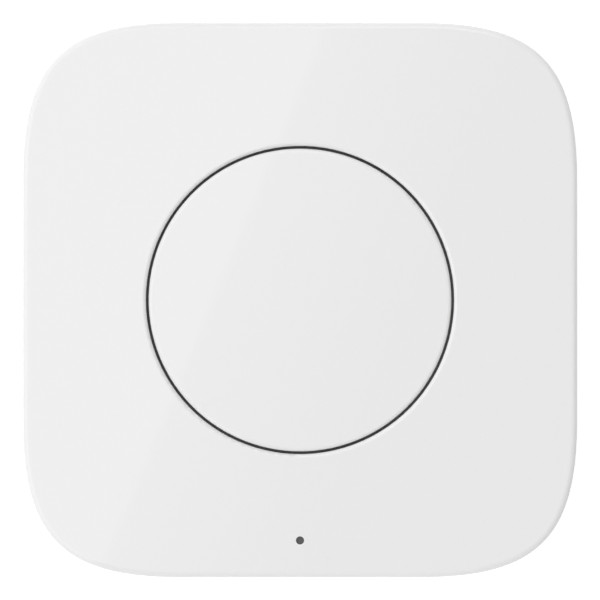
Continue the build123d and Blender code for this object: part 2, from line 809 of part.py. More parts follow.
# Contact under the middle of the board: a slit strip that bows down onto the cell's cap
with BuildPart() as negative_contact:
    crest_level = cell_top_level + contact_sheet / 2
    crest_end = minus_crest_length / 2
    slope_end = crest_end + minus_slope_length
    foot_end = slope_end + minus_foot_length
    with BuildSketch(Plane.XZ):
        with BuildLine():
            FilletPolyline(
                (-foot_end, contact_foot_level),
                (-slope_end, contact_foot_level),
                (-crest_end, crest_level),
                (crest_end, crest_level),
                (slope_end, contact_foot_level),
                (foot_end, contact_foot_level),
                radius=minus_bend_radius,
            )
        trace(line_width=contact_sheet)
    extrude(amount=minus_width / 2, both=True)
    with BuildSketch(Plane.XY.offset(cell_top_level)):
        SlotOverall(minus_slit_length, minus_slit_width)
    extrude(amount=contact_rise, mode=Mode.SUBTRACT)

# Contact at the side: a strip that leans through the well's slot onto the can
with BuildPart() as positive_contact:
    touch_offset = cell_radius + plus_touch_gap + contact_sheet / 2
    with BuildSketch(Plane.XZ):
        with BuildLine():
            FilletPolyline(
                (touch_offset + plus_lean + plus_foot_length, contact_foot_level),
                (touch_offset + plus_lean, contact_foot_level),
                (touch_offset, plus_touch_level),
                (touch_offset + plus_tip_flare, plus_tip_level),
                radius=plus_bend_radius,
            )
        trace(line_width=contact_sheet)
    extrude(amount=plus_width / 2, both=True)

# Circuit board, with a hole for each of its screws
with BuildPart() as circuit_board:
    with BuildSketch(Plane.XY.offset(board_level)):
        add(outline(side_wall + board_edge_gap))
        with Locations(*board_boss_places):
            Circle(screw_shank_diameter / 2 + screw_hole_gap, mode=Mode.SUBTRACT)
    extrude(amount=board_thickness)

# Switch: base, snap dome, plunger, sheet cover with two tabs, and four legs
with BuildPart() as tact_base:
    with BuildSketch(Plane.XY.offset(board_top_level)):
        RectangleRounded(switch_width, switch_width, switch_corner_radius)
    extrude(amount=switch_height)
    with BuildSketch(Plane.XY.offset(dome_level)):
        Circle(switch_well_diameter / 2)
    extrude(amount=switch_well_depth, mode=Mode.SUBTRACT)

with BuildPart() as tact_dome:
    dome_radius = switch_well_diameter / 2 - dome_gap
    with BuildSketch(Plane.XZ):
        with BuildLine():
            under = ThreePointArc(
                (-dome_radius + dome_sheet, dome_level),
                (0, dome_top_level - dome_sheet),
                (dome_radius - dome_sheet, dome_level),
            )
            over = ThreePointArc(
                (-dome_radius, dome_level),
                (0, dome_top_level),
                (dome_radius, dome_level),
            )
            Line(under @ 0, over @ 0)
            Line(under @ 1, over @ 1)
        make_face()
        with BuildLine():
            Polyline(
                (0, dome_level),
                (switch_well_diameter, dome_level),
                (switch_well_diameter, switch_top_level),
                (0, switch_top_level),
                close=True,
            )
        make_face(mode=Mode.INTERSECT)
    revolve(axis=Axis.Z)

with BuildPart() as tact_plunger:
    flange_radius = plunger_stem_diameter / 2 + plunger_flange_reach
    flange_top_level = switch_top_level - plunger_flange_gap
    flange_level = flange_top_level - plunger_flange_thickness
    with BuildSketch(Plane.XY.offset(flange_level)):
        Circle(flange_radius)
    extrude(amount=plunger_flange_thickness)
    with BuildSketch(Plane.XY.offset(flange_level)):
        Circle(plunger_stem_diameter / 2)
    extrude(amount=plunger_top_level - flange_level)
    with BuildSketch(Plane.XY.offset(dome_top_level + dome_nub_gap)):
        Circle(plunger_nub_diameter / 2)
    extrude(amount=flange_level - dome_top_level - dome_nub_gap)

with BuildPart() as tact_cover:
    cover_width = switch_width - 2 * switch_cover_inset
    with BuildSketch(Plane.XY.offset(switch_top_level)):
        RectangleRounded(cover_width, cover_width, switch_corner_radius)
        Rectangle(switch_tab_width, switch_width + 2 * switch_cover_sheet)
        Circle(plunger_stem_diameter / 2 + plunger_hole_gap, mode=Mode.SUBTRACT)
    extrude(amount=switch_cover_sheet)
    with BuildSketch(Plane.XY.offset(cover_top_level)):
        tab_offset = (switch_width + switch_cover_sheet) / 2
        with Locations((0, tab_offset), (0, -tab_offset)):
            Rectangle(switch_tab_width, switch_cover_sheet)
    extrude(amount=-switch_tab_length)


def build_leg(start, rise, reach, foot_length, sheet, width):
    """Build one bent leg that leaves a side at +X and stands on the board."""
    foot_level = board_top_level + sheet / 2
    with BuildPart() as leg:
        with BuildSketch(Plane.XZ):
            with BuildLine():
                FilletPolyline(
                    (start, foot_level + rise),
                    (start + reach, foot_level + rise),
                    (start + reach, foot_level),
                    (start + reach + foot_length, foot_level),
                    radius=leg_bend_radius,
                )
            trace(line_width=sheet)
        extrude(amount=width / 2, both=True)
    return leg.part


switch_leg = build_leg(
    switch_width / 2, leg_rise, leg_reach, leg_foot_length, leg_sheet, leg_width
)

with BuildPart() as tact_terminals:
    with PolarLocations(0, 2):
        with Locations((0, leg_pitch / 2), (0, -leg_pitch / 2)):
            add(switch_leg)


def build_chip(place, size, height, lift):
    """Build a moulded package with bevelled upper edges and a dimple in one corner."""
    with BuildPart() as chip:
        with BuildSketch(Plane.XY.offset(board_top_level + lift)):
            with Locations(place):
                Rectangle(*size)
        extrude(amount=height)
        chamfer(chip.edges().group_by(Axis.Z)[-1], chip_bevel)
        with BuildSketch(Plane.XY.offset(board_top_level + lift + height)):
            corner = Vector(chip_dimple_inset - size[0] / 2, size[1] / 2 - chip_dimple_inset)
            with Locations(place + corner):
                Circle(chip_dimple_diameter / 2)
        extrude(amount=-chip_dimple_depth, mode=Mode.SUBTRACT)
    return chip


radio_chip = build_chip(
    at_share(radio_chip_place_shares), (radio_chip_width, radio_chip_width), radio_chip_height, 0
)
memory_chip = build_chip(
    at_share(memory_chip_place_shares), memory_chip_size, memory_chip_height, memory_chip_lift
)

memory_lead = build_leg(
    memory_chip_size[0] / 2,
    memory_lead_rise,
    memory_lead_reach,
    memory_lead_foot,
    memory_lead_sheet,
    memory_lead_width,
)

with BuildPart() as memory_leads:
    with Locations(at_share(memory_chip_place_shares)):
        with PolarLocations(0, 2):
            with GridLocations(memory_lead_pitch, memory_lead_pitch, 1, memory_leads_a_side):
                add(memory_lead)


def build_crystal(place, size, height):
    """Build a ceramic base with a raised metal lid."""
    with BuildPart() as crystal:
        with BuildSketch(Plane.XY.offset(board_top_level)):
            with Locations(place):
                Rectangle(*size)
        extrude(amount=height - crystal_lid_height)
        with BuildSketch(Plane.XY.offset(board_top_level + height)):
            with Locations(place):
                RectangleRounded(
                    size[0] - 2 * crystal_lid_inset,
                    size[1] - 2 * crystal_lid_inset,
                    crystal_lid_inset,
                )
        extrude(amount=-crystal_lid_height)
    return crystal


main_crystal = build_crystal(
    at_share(main_crystal_place_shares), main_crystal_size, main_crystal_height
)
slow_crystal = build_crystal(
    at_share(slow_crystal_place_shares), slow_crystal_size, slow_crystal_height
)

# Large capacitor: a bevelled block between two feet
store_place = at_share(store_capacitor_place_shares)

with BuildPart() as store_capacitor:
    with BuildSketch(Plane.XY.offset(board_top_level)):
        with Locations(store_place):
            Rectangle(*store_capacitor_size)
    extrude(amount=store_capacitor_height)
    chamfer(store_capacitor.edges().group_by(Axis.Z)[-1], store_capacitor_bevel)

with BuildPart() as store_feet:
    foot_offset = (store_capacitor_size[0] + store_foot_sheet) / 2
    with BuildSketch(Plane.XY.offset(board_top_level)):
        with Locations(store_place):
            with Locations((foot_offset, 0), (-foot_offset, 0)):
                Rectangle(store_foot_sheet, store_foot_width)
    extrude(amount=store_foot_height)


def build_blocks(places, length, height):
    """Build plain blocks that stand on the board, as long as given and as wide as any."""
    with BuildPart() as blocks:
        with BuildSketch(Plane.XY.offset(board_top_level)):
            with Locations(*places):
                Rectangle(length, small_part_width)
        extrude(amount=height)
    return blocks


capacitor_places = [at_share(shares) for shares in capacitor_place_shares]
resistor_places = [at_share(shares) for shares in resistor_place_shares]
small_part_core = small_part_length - 2 * small_part_end
capacitors = build_blocks(capacitor_places, small_part_core, capacitor_height)
resistors = build_blocks(resistor_places, small_part_core, resistor_height)

with BuildPart() as part_terminals:
    end_offset = (small_part_length - small_part_end) / 2
    for places, height in (
        (capacitor_places, capacitor_height),
        (resistor_places, resistor_height),
    ):
        with BuildSketch(Plane.XY.offset(board_top_level)):
            with Locations(*places):
                with Locations((end_offset, 0), (-end_offset, 0)):
                    Rectangle(small_part_end, small_part_width)
        extrude(amount=height)

# Indicator lamp, and the clear block on it
with BuildPart() as indicator_led:
    with BuildSketch(Plane.XY.offset(board_top_level)):
        with Locations(indicator_place):
            Rectangle(led_length, led_width)
    extrude(amount=led_base_height)

with BuildPart() as led_lens:
    with BuildSketch(Plane.XY.offset(board_top_level + led_base_height)):
        with Locations(indicator_place):
            Rectangle(led_lens_length, led_width)
    extrude(amount=led_lens_height)

# Antenna: one folded track along the board's upper edge, with its feed at the left
with BuildPart() as antenna_trace:
    antenna_top = board_half - antenna_edge_gap
    antenna_foot = antenna_top - antenna_height
    track = [Vector(-antenna_width / 2, antenna_foot - antenna_feed_length)]
    for fold in range(antenna_folds):
        fold_end = antenna_top if fold % 2 == 0 else antenna_foot
        for step in (fold, fold + 1):
            track.append(Vector(antenna_width * (step / antenna_folds - 1 / 2), fold_end))
    with BuildSketch(Plane.XY.offset(board_top_level)):
        with BuildLine():
            Polyline(*track)
        trace(line_width=antenna_track)
    extrude(amount=copper_film)

# Round pads under the board, where a tester's pins touch
with BuildPart() as test_pads_row:
    with BuildSketch(Plane.XY.offset(board_level)):
        with Locations((0, -test_pad_place_share * board_half)):
            with GridLocations(test_pad_pitch, test_pad_pitch, test_pads, 1):
                Circle(test_pad_diameter / 2)
    extrude(amount=-copper_film)

# Every piece under its own name
pieces = {
    "front_shell": front_shell,
    "button_cap": button_cap,
    "button_flexure": button_flexure,
    "flexure_screws": flexure_screws,
    "light_pipe": light_pipe,
    "light_sleeve": light_sleeve,
    "rear_shell": rear_shell,
    "battery_door": battery_door,
    "adhesive_pad": adhesive_pad,
    "cell_can": cell_can,
    "cell_gasket": cell_gasket,
    "cell_cap": cell_cap,
    "cell_core": cell_core,
    "negative_contact": negative_contact,
    "positive_contact": positive_contact,
    "circuit_board": circuit_board,
    "board_screws": board_screws,
    "tact_base": tact_base,
    "tact_dome": tact_dome,
    "tact_plunger": tact_plunger,
    "tact_cover": tact_cover,
    "tact_terminals": tact_terminals,
    "radio_chip": radio_chip,
    "memory_chip": memory_chip,
    "memory_leads": memory_leads,
    "main_crystal": main_crystal,
    "slow_crystal": slow_crystal,
    "store_capacitor": store_capacitor,
    "store_feet": store_feet,
    "capacitors": capacitors,
    "resistors": resistors,
    "part_terminals": part_terminals,
    "indicator_led": indicator_led,
    "led_lens": led_lens,
    "antenna_trace": antenna_trace,
    "test_pads": test_pads_row,
}

os.makedirs("parts", exist_ok=True)
for name, piece in pieces.items():
    piece.part.label = name
    export_step(piece.part, f"parts/{name}.step")
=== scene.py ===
"""Looks of a wireless smart button: its finishes, its fine pieces, the studio and the camera.

Everything is in metres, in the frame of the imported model: +Z comes out of the button's face,
the indicator lies towards -Y, and z = 0 is the sticky face of the pad.
"""

from __future__ import annotations

import json
import logging
import math
from dataclasses import dataclass
from enum import Enum
from typing import Callable, ClassVar

import bmesh
import bpy
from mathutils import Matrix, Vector


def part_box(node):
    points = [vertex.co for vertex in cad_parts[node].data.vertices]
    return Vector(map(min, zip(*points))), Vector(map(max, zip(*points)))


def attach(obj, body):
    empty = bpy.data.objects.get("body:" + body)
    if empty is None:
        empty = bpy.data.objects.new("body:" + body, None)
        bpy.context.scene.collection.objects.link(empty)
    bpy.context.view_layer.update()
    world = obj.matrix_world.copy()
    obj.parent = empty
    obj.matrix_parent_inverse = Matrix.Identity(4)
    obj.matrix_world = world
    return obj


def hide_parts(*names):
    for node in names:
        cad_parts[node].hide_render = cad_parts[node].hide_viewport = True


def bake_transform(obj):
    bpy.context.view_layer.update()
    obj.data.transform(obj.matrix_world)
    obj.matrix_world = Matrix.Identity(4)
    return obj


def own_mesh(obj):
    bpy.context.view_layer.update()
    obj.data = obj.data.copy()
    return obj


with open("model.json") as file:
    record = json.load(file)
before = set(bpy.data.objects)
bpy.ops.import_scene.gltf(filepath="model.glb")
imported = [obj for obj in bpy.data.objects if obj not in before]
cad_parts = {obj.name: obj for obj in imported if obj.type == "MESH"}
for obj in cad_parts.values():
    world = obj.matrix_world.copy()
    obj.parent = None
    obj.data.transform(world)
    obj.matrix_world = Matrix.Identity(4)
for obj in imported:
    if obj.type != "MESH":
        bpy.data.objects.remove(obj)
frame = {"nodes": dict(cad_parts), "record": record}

log = logging.getLogger("smart_button")

MM = 0.001
MICRON = 0.001 * MM
WHITE = (1.0, 1.0, 1.0, 1.0)
MIDDLE = (0.0, 0.0)
UP = (0.0, 0.0, 1.0)

Socket = bpy.types.NodeSocket
Piece = bpy.types.Object
Colour = tuple[float, float, float]
Point = tuple[float, float, float]
Place = tuple[float, float]
Pair = tuple[Socket, Socket]
Value = Socket | float
Way = tuple[Place, ...]
TwoPoints = tuple[Vector, Vector]


class Body(Enum):
    """The bodies that new pieces ride on."""

    CASING = "casing"
    BUTTON = "button"


class GrainRun(Enum):
    """The way in which a surface's fine grain runs."""

    NONE = "none"
    ALONG_X = "along_x"
    ALONG_Y = "along_y"
    TURNED = "turned"


# ---- Shader node groups ----


class NodeDesk:
    """Adds nodes to one node tree and joins them."""

    def __init__(self, tree: bpy.types.NodeTree) -> None:
        """Take the node tree of a material or a group."""
        self.tree = tree

    def add(self, kind: str, *values: Value, **settings: object) -> bpy.types.Node:
        """Add a node.

        Args:
            kind: The node's type name.
            values: What its first inputs take, in their order.
            settings: Properties of the node, by name.

        Returns:
            The new node.
        """
        node = self.tree.nodes.new(kind)
        for name, setting in settings.items():
            setattr(node, name, setting)
        for value, target in zip(values, node.inputs):
            self.join(value, target)
        return node

    def join(self, value: Value, target: Socket) -> None:
        """Link an output to an input, or set the input to a constant.

        Args:
            value: The output or the constant.
            target: The input.
        """
        if isinstance(value, Socket):
            self.tree.links.new(value, target)
        else:
            target.default_value = value

    def feed(self, node: bpy.types.Node, **values: Value) -> bpy.types.Node:
        """Give a node's inputs their values.

        Args:
            node: The node.
            values: Outputs or constants by the input's name, with _ for a space.

        Returns:
            The same node.
        """
        for name, value in values.items():
            self.join(value, node.inputs[name.replace("_", " ")])
        return node

    def noise(self, place: Socket, detail: float) -> Socket:
        """Read a noise of so many layers, with one bump to the unit of place."""
        node = self.add("ShaderNodeTexNoise")
        return self.feed(node, Vector=place, Scale=1.0, Detail=detail).outputs["Fac"]

    def spread(
        self, value: Socket, low: float, high: float, start: float = 0.3, end: float = 0.7
    ) -> Socket:
        """Map a changing value, which runs from start to end, onto low to high."""
        return self.add("ShaderNodeMapRange", value, start, end, low, high).outputs["Result"]

    def sums(self, operation: str, first: Socket, second: Value) -> Socket:
        """Do one sum with a Math node."""
        return self.add("ShaderNodeMath", first, second, operation=operation).outputs[0]

    def blend(self, mask: Socket, first: Colour, second: Colour) -> Socket:
        """Mix two colours by a mask.

        Args:
            mask: 0 gives the first colour and 1 the second.
            first: A colour.
            second: A colour.

        Returns:
            The mixed colour.
        """
        node = self.add("ShaderNodeMix", mask, data_type="RGBA")
        node.inputs[6].default_value = (*first, 1.0)
        node.inputs[7].default_value = (*second, 1.0)
        return node.outputs[2]

    def parts(self, vector: Socket) -> bpy.types.NodeOutputs:
        """Split a vector into its X, Y and Z."""
        return self.add("ShaderNodeSeparateXYZ", vector).outputs

    def looked_at(self) -> Socket:
        """Mask the rays that come from the camera, straight, mirrored or through glass.

        Returns:
            1 for those rays and 0 for the ones that carry soft light.
        """
        rays = self.add("ShaderNodeLightPath").outputs
        mirrored = self.sums("MAXIMUM", rays["Is Camera Ray"], rays["Is Glossy Ray"])
        return self.sums("MAXIMUM", mirrored, rays["Is Transmission Ray"])

    def choose(self, mask: Socket, first: Socket, second: Socket) -> Socket:
        """Take the first of two shaders where a mask is 0, and the second where it is 1."""
        return self.add("ShaderNodeMixShader", mask, first, second).outputs["Shader"]


class EffectGroup:
    """A node group of named numbers, built once and placed in many materials."""

    numbers: tuple[tuple[str, float], ...] = ()

    def __init__(self) -> None:
        """Make the group and its sockets, and fill it."""
        self.tree = bpy.data.node_groups.new(type(self).__name__, "ShaderNodeTree")
        face = self.tree.interface
        face.new_socket("Vector", in_out="INPUT", socket_type="NodeSocketVector")
        for name, value in self.numbers:
            socket = face.new_socket(name, in_out="INPUT", socket_type="NodeSocketFloat")
            socket.default_value = value
        for name in ("Height", "Shade"):
            face.new_socket(name, in_out="OUTPUT", socket_type="NodeSocketFloat")
        self.desk = NodeDesk(self.tree)
        self.source = self.desk.add("NodeGroupInput")
        self.desk.add("NodeGroupOutput", *self.fill())

    @classmethod
    def shared(cls) -> bpy.types.NodeTree:
        """Give this kind's group, which is built when it is first asked for."""
        return bpy.data.node_groups.get(cls.__name__) or cls().tree

    def fill(self) -> Pair:
        """Make the sockets for Height and Shade; each kind of group has its own."""
        raise NotImplementedError

    def scaled(self, number: str, factor: float = 1.0) -> Socket:
        """Scale the incoming vector by a named input.

        Args:
            number: The input that scales it.
            factor: A further plain factor.

        Returns:
            The scaled vector.
        """
        desk, sockets = self.desk, self.source.outputs
        node = desk.add("ShaderNodeVectorMath", sockets["Vector"], operation="SCALE")
        scale = desk.sums("MULTIPLY", sockets[number], factor)
        return desk.feed(node, Scale=scale).outputs["Vector"]


class MouldedSkin(EffectGroup):
    """The skin of a moulding: fine eroded grain, and slow flow marks under it."""

    numbers = (("Grain", 6000.0), ("Flow", 120.0))
    coarser = 0.31
    coarse_weight = 0.6

    def fill(self) -> Pair:
        """Read the grain in two sizes for Height, and the flow marks for Shade.

        Returns:
            The sockets for Height and Shade.
        """
        desk = self.desk
        fine = desk.noise(self.scaled("Grain"), detail=3.0)
        coarse = desk.noise(self.scaled("Grain", self.coarser), detail=1.0)
        grain = desk.sums("ADD", fine, desk.sums("MULTIPLY", coarse, self.coarse_weight))
        return grain, desk.noise(self.scaled("Flow"), detail=2.0)


class PolishedSkin(EffectGroup):
    """The skin of a polished moulding: a slow wave, and hairline handling marks."""

    numbers = (("Wave", 260.0), ("Hairlines", 900.0))
    drift_scale = 0.35
    hairline_width = 0.02

    def fill(self) -> Pair:
        """Read the wave for Height, and the edges of drifting cells for Shade.

        Returns:
            The sockets for Height and Shade.
        """
        desk = self.desk
        wave = desk.noise(self.scaled("Wave"), detail=1.5)
        place = self.scaled("Hairlines")
        drift = desk.add("ShaderNodeTexNoise")
        desk.feed(drift, Vector=place, Scale=self.drift_scale)
        drifted = drift.outputs["Color"]
        warp = desk.add("ShaderNodeVectorMath", place, drifted, operation="ADD")
        lines = desk.add("ShaderNodeTexVoronoi", feature="DISTANCE_TO_EDGE")
        desk.feed(lines, Vector=warp.outputs["Vector"], Scale=1.0)
        return wave, desk.spread(lines.outputs["Distance"], 1.0, 0.0, 0.0, self.hairline_width)


class MetalGrain(EffectGroup):
    """What the two kinds of metal grain share."""

    cloud_share = 0.06

    def grained(self, *axes: Socket) -> Pair:
        """Read fine grain at X, Y and Z for Height, and slow cloudiness for Shade."""
        place = self.desk.add("ShaderNodeCombineXYZ", *axes).outputs["Vector"]
        return (
            self.desk.noise(place, detail=4.0),
            self.desk.noise(self.scaled("Grain", self.cloud_share), detail=3.0),
        )


class DrawnGrain(MetalGrain):
    """The grain of rolled or brushed metal, which runs along the incoming vector's X."""

    numbers = (("Grain", 4000.0), ("Run", 0.02))

    def fill(self) -> Pair:
        """Stretch the grain along X."""
        x, y, z = self.desk.parts(self.scaled("Grain"))
        return self.grained(self.desk.sums("MULTIPLY", x, self.source.outputs["Run"]), y, z)


class TurnedGrain(MetalGrain):
    """The rings of turned or spun metal round the Z axis."""

    numbers = (("Grain", 4000.0),)

    def fill(self) -> Pair:
        """Read the grain along the radius.

        Returns:
            The sockets for Height and Shade.
        """
        desk, grain = self.desk, self.source.outputs["Grain"]
        x, y, z = desk.parts(self.source.outputs["Vector"])
        squares = desk.sums("ADD", desk.sums("MULTIPLY", x, x), desk.sums("MULTIPLY", y, y))
        rings = desk.sums("MULTIPLY", desk.sums("POWER", squares, 0.5), grain)
        return self.grained(rings, desk.sums("MULTIPLY", z, grain))


class FoamCells(EffectGroup):
    """Closed foam cells, cut open where the pad was stamped, with painted shade in the cells'
    hollows.
    """

    numbers = (("Cells", 4200.0),)
    smoothness = 0.35
    wall_span = (0.15, 0.7)

    def fill(self) -> Pair:
        """Read the cells' hollows for Height, and the same mask for Shade, which darkens the
        hollows as painted shade.

        Returns:
            The sockets for Height and Shade.
        """
        desk = self.desk
        cells = desk.add("ShaderNodeTexVoronoi", feature="SMOOTH_F1")
        place = self.scaled("Cells")
        desk.feed(cells, Vector=place, Scale=1.0, Smoothness=self.smoothness)
        # One mask raises the cell wall and darkens the hollows' colour: painted shade in the
        # foam cells.
        wall_mask_and_hollow_shade = desk.spread(cells.outputs["Distance"], 0.0, 1.0, *self.wall_span)
        return wall_mask_and_hollow_shade, wall_mask_and_hollow_shade


# ---- Finishes ----

@dataclass(frozen=True)
class Finish:
    """What all finishes have; the relief is in thousandths of a millimetre."""

    name: str
    colour: Colour
    shade: Colour
    gloss: tuple[float, float]
    relief: float
    metallic: float = 0.0
    clear: float = 0.0
    ior: float = 1.5
    kind: ClassVar[type[EffectGroup]] = EffectGroup

    def skin(self) -> tuple[type[EffectGroup], dict[str, float]]:
        """Give the effect group, and those of its numbers that are not its usual ones."""
        return self.kind, {}

    def place(self, desk: NodeDesk) -> Socket:
        """Give the Object coordinates at which the skin is read."""
        return desk.add("ShaderNodeTexCoord").outputs["Object"]

    def build(self) -> bpy.types.Material:
        """Make the material.

        Returns:
            The finished material.
        """
        material = bpy.data.materials.new(self.name)
        material.use_nodes = True
        desk = NodeDesk(material.node_tree)
        shader = material.node_tree.nodes["Principled BSDF"]
        kind, numbers = self.skin()
        skin = desk.add("ShaderNodeGroup", node_tree=kind.shared())
        desk.feed(skin, Vector=self.place(desk), **numbers)
        height, shade = skin.outputs["Height"], skin.outputs["Shade"]
        bump = desk.feed(
            desk.add("ShaderNodeBump"), Distance=self.relief * MICRON, Height=height
        )
        desk.feed(
            shader,
            Base_Color=desk.blend(shade, self.colour, self.shade),
            Roughness=desk.spread(shade, *self.gloss),
            Normal=bump.outputs["Normal"],
            Metallic=self.metallic,
            Transmission_Weight=self.clear,
            IOR=self.ior,
        )
        material.diffuse_color = (*self.colour, 1.0)
        return material


@dataclass(frozen=True)
class MouldedPlastic(Finish):
    """Plastic out of a mould with an eroded, satin surface."""

    kind = MouldedSkin


@dataclass(frozen=True)
class PolishedPlastic(Finish):
    """Plastic out of a polished mould."""

    kind = PolishedSkin


@dataclass(frozen=True)
class Metal(Finish):
    """Sheet, drawn or turned metal."""

    metallic: float = 1.0
    run: GrainRun = GrainRun.ALONG_X

    def skin(self) -> tuple[type[EffectGroup], dict[str, float]]:
        """Use turned rings, or grain that is drawn out along its run.

        Returns:
            The kind of group, and the numbers in which it differs.
        """
        if self.run is GrainRun.TURNED:
            return TurnedGrain, {}
        return DrawnGrain, {"Run": 1.0} if self.run is GrainRun.NONE else {}

    def place(self, desk: NodeDesk) -> Socket:
        """Give the Object coordinates, a quarter turn round for grain along Y.

        Args:
            desk: The material's nodes.

        Returns:
            The place at which the grain is read.
        """
        place = super().place(desk)
        if self.run is not GrainRun.ALONG_Y:
            return place
        turn = desk.add("ShaderNodeMapping", place)
        return desk.feed(turn, Rotation=(0.0, 0.0, math.pi / 2)).outputs["Vector"]


@dataclass(frozen=True)
class Foam(Finish):
    """Closed-cell foam, whose first colour is painted shade in the cells' hollows."""

    kind = FoamCells


def grey(level: float) -> Colour:
    """Give a neutral colour."""
    return level, level, level


def finishes() -> tuple[Finish, ...]:
    """Give the finish of each of the record's slots, and of the masked tracks.

    Returns:
        The finishes.
    """
    plain, ahead, turned = GrainRun.NONE, GrainRun.ALONG_Y, GrainRun.TURNED
    polish, satin, steel = PolishedPlastic, MouldedPlastic, Metal
    return (
        polish("gloss_white", grey(0.865), (0.855, 0.855, 0.856), (0.008, 0.014), 0.05),
        satin("satin_white", grey(0.83), (0.80, 0.80, 0.805), (0.40, 0.50), 12.0),
        # pad_foam: the darker first colour is painted shade in the foam cells' hollows; the
        # second is the cell wall colour.
        Foam("pad_foam", (0.72, 0.72, 0.71), (0.83, 0.83, 0.82), (0.85, 0.65), 60.0),
        satin("coated_spring", grey(0.03), grey(0.022), (0.16, 0.24), 2.0),
        steel("spring_steel", (0.62, 0.61, 0.59), (0.55, 0.54, 0.53), (0.24, 0.36), 4.0),
        steel("screw_steel", (0.5, 0.5, 0.52), (0.4, 0.41, 0.43), (0.28, 0.42), 6.0, run=plain),
        polish("smoked_guide", grey(0.07), grey(0.04), (0.08, 0.14), 2.0, ior=1.58),
        satin("black_rubber", grey(0.03), grey(0.022), (0.62, 0.78), 10.0),
        steel(
            "cell_steel", (0.74, 0.73, 0.71), (0.64, 0.63, 0.62), (0.18, 0.3), 5.0, run=turned
        ),
        satin("gasket_plastic", grey(0.25), grey(0.20), (0.35, 0.5), 6.0),
        satin("cell_filling", grey(0.10), grey(0.06), (0.8, 0.9), 30.0),
        steel("contact_plating", (0.78, 0.76, 0.70), (0.70, 0.68, 0.62), (0.18, 0.30), 4.0),
        satin("board_mask", (0.022, 0.15, 0.07), (0.03, 0.19, 0.09), (0.26, 0.36), 6.0),
        satin("masked_track", (0.07, 0.33, 0.16), (0.055, 0.28, 0.13), (0.24, 0.34), 4.0),
        steel("gold_copper", (0.83, 0.66, 0.35), (0.74, 0.56, 0.28), (0.20, 0.34), 4.0),
        steel("tin", (0.72, 0.72, 0.73), (0.60, 0.60, 0.62), (0.22, 0.42), 6.0, run=plain),
        satin("switch_black", grey(0.03), grey(0.022), (0.4, 0.55), 8.0),
        satin("switch_plunger", (0.55, 0.08, 0.06), (0.46, 0.06, 0.05), (0.35, 0.5), 6.0),
        steel("switch_cover", grey(0.68), grey(0.58), (0.2, 0.32), 5.0),
        satin("chip_black", (0.026, 0.026, 0.027), grey(0.018), (0.5, 0.62), 10.0),
        steel(
            "crystal_metal", (0.76, 0.73, 0.66), (0.68, 0.65, 0.58), (0.2, 0.34), 4.0, run=ahead
        ),
        satin("tantalum_yellow", (0.72, 0.46, 0.08), (0.64, 0.39, 0.06), (0.4, 0.55), 10.0),
        satin("capacitor_tan", (0.42, 0.30, 0.19), (0.36, 0.25, 0.16), (0.35, 0.5), 6.0),
        satin("resistor_black", (0.04, 0.04, 0.045), (0.03, 0.03, 0.033), (0.2, 0.35), 4.0),
        satin("led_body", (0.80, 0.80, 0.78), (0.76, 0.76, 0.74), (0.3, 0.4), 4.0),
        polish("led_clear", (0.85, 0.82, 0.55), (0.83, 0.8, 0.5), (0.06, 0.1), 1.0, clear=0.6),
    )


class FinishShelf:
    """Holds one material for each finish."""

    def __init__(self) -> None:
        """Build every material."""
        self.materials = {finish.name: finish.build() for finish in finishes()}

    def dress(self, piece: Piece, slot: str) -> None:
        """Give a piece or a CAD node the material of a slot."""
        piece.data.materials.clear()
        piece.data.materials.append(self.materials[slot])

    def dress_nodes(self) -> None:
        """Give the CAD nodes the materials that the record names for them."""
        for part in frame["record"]["subparts"]:
            self.dress(frame["nodes"][part["node"]], part["material_slot"])
            log.info("%s wears %s", part["node"], part["material_slot"])


# ---- Modelling bench ----

Pick = Callable[[bmesh.types.BMFace], bool]


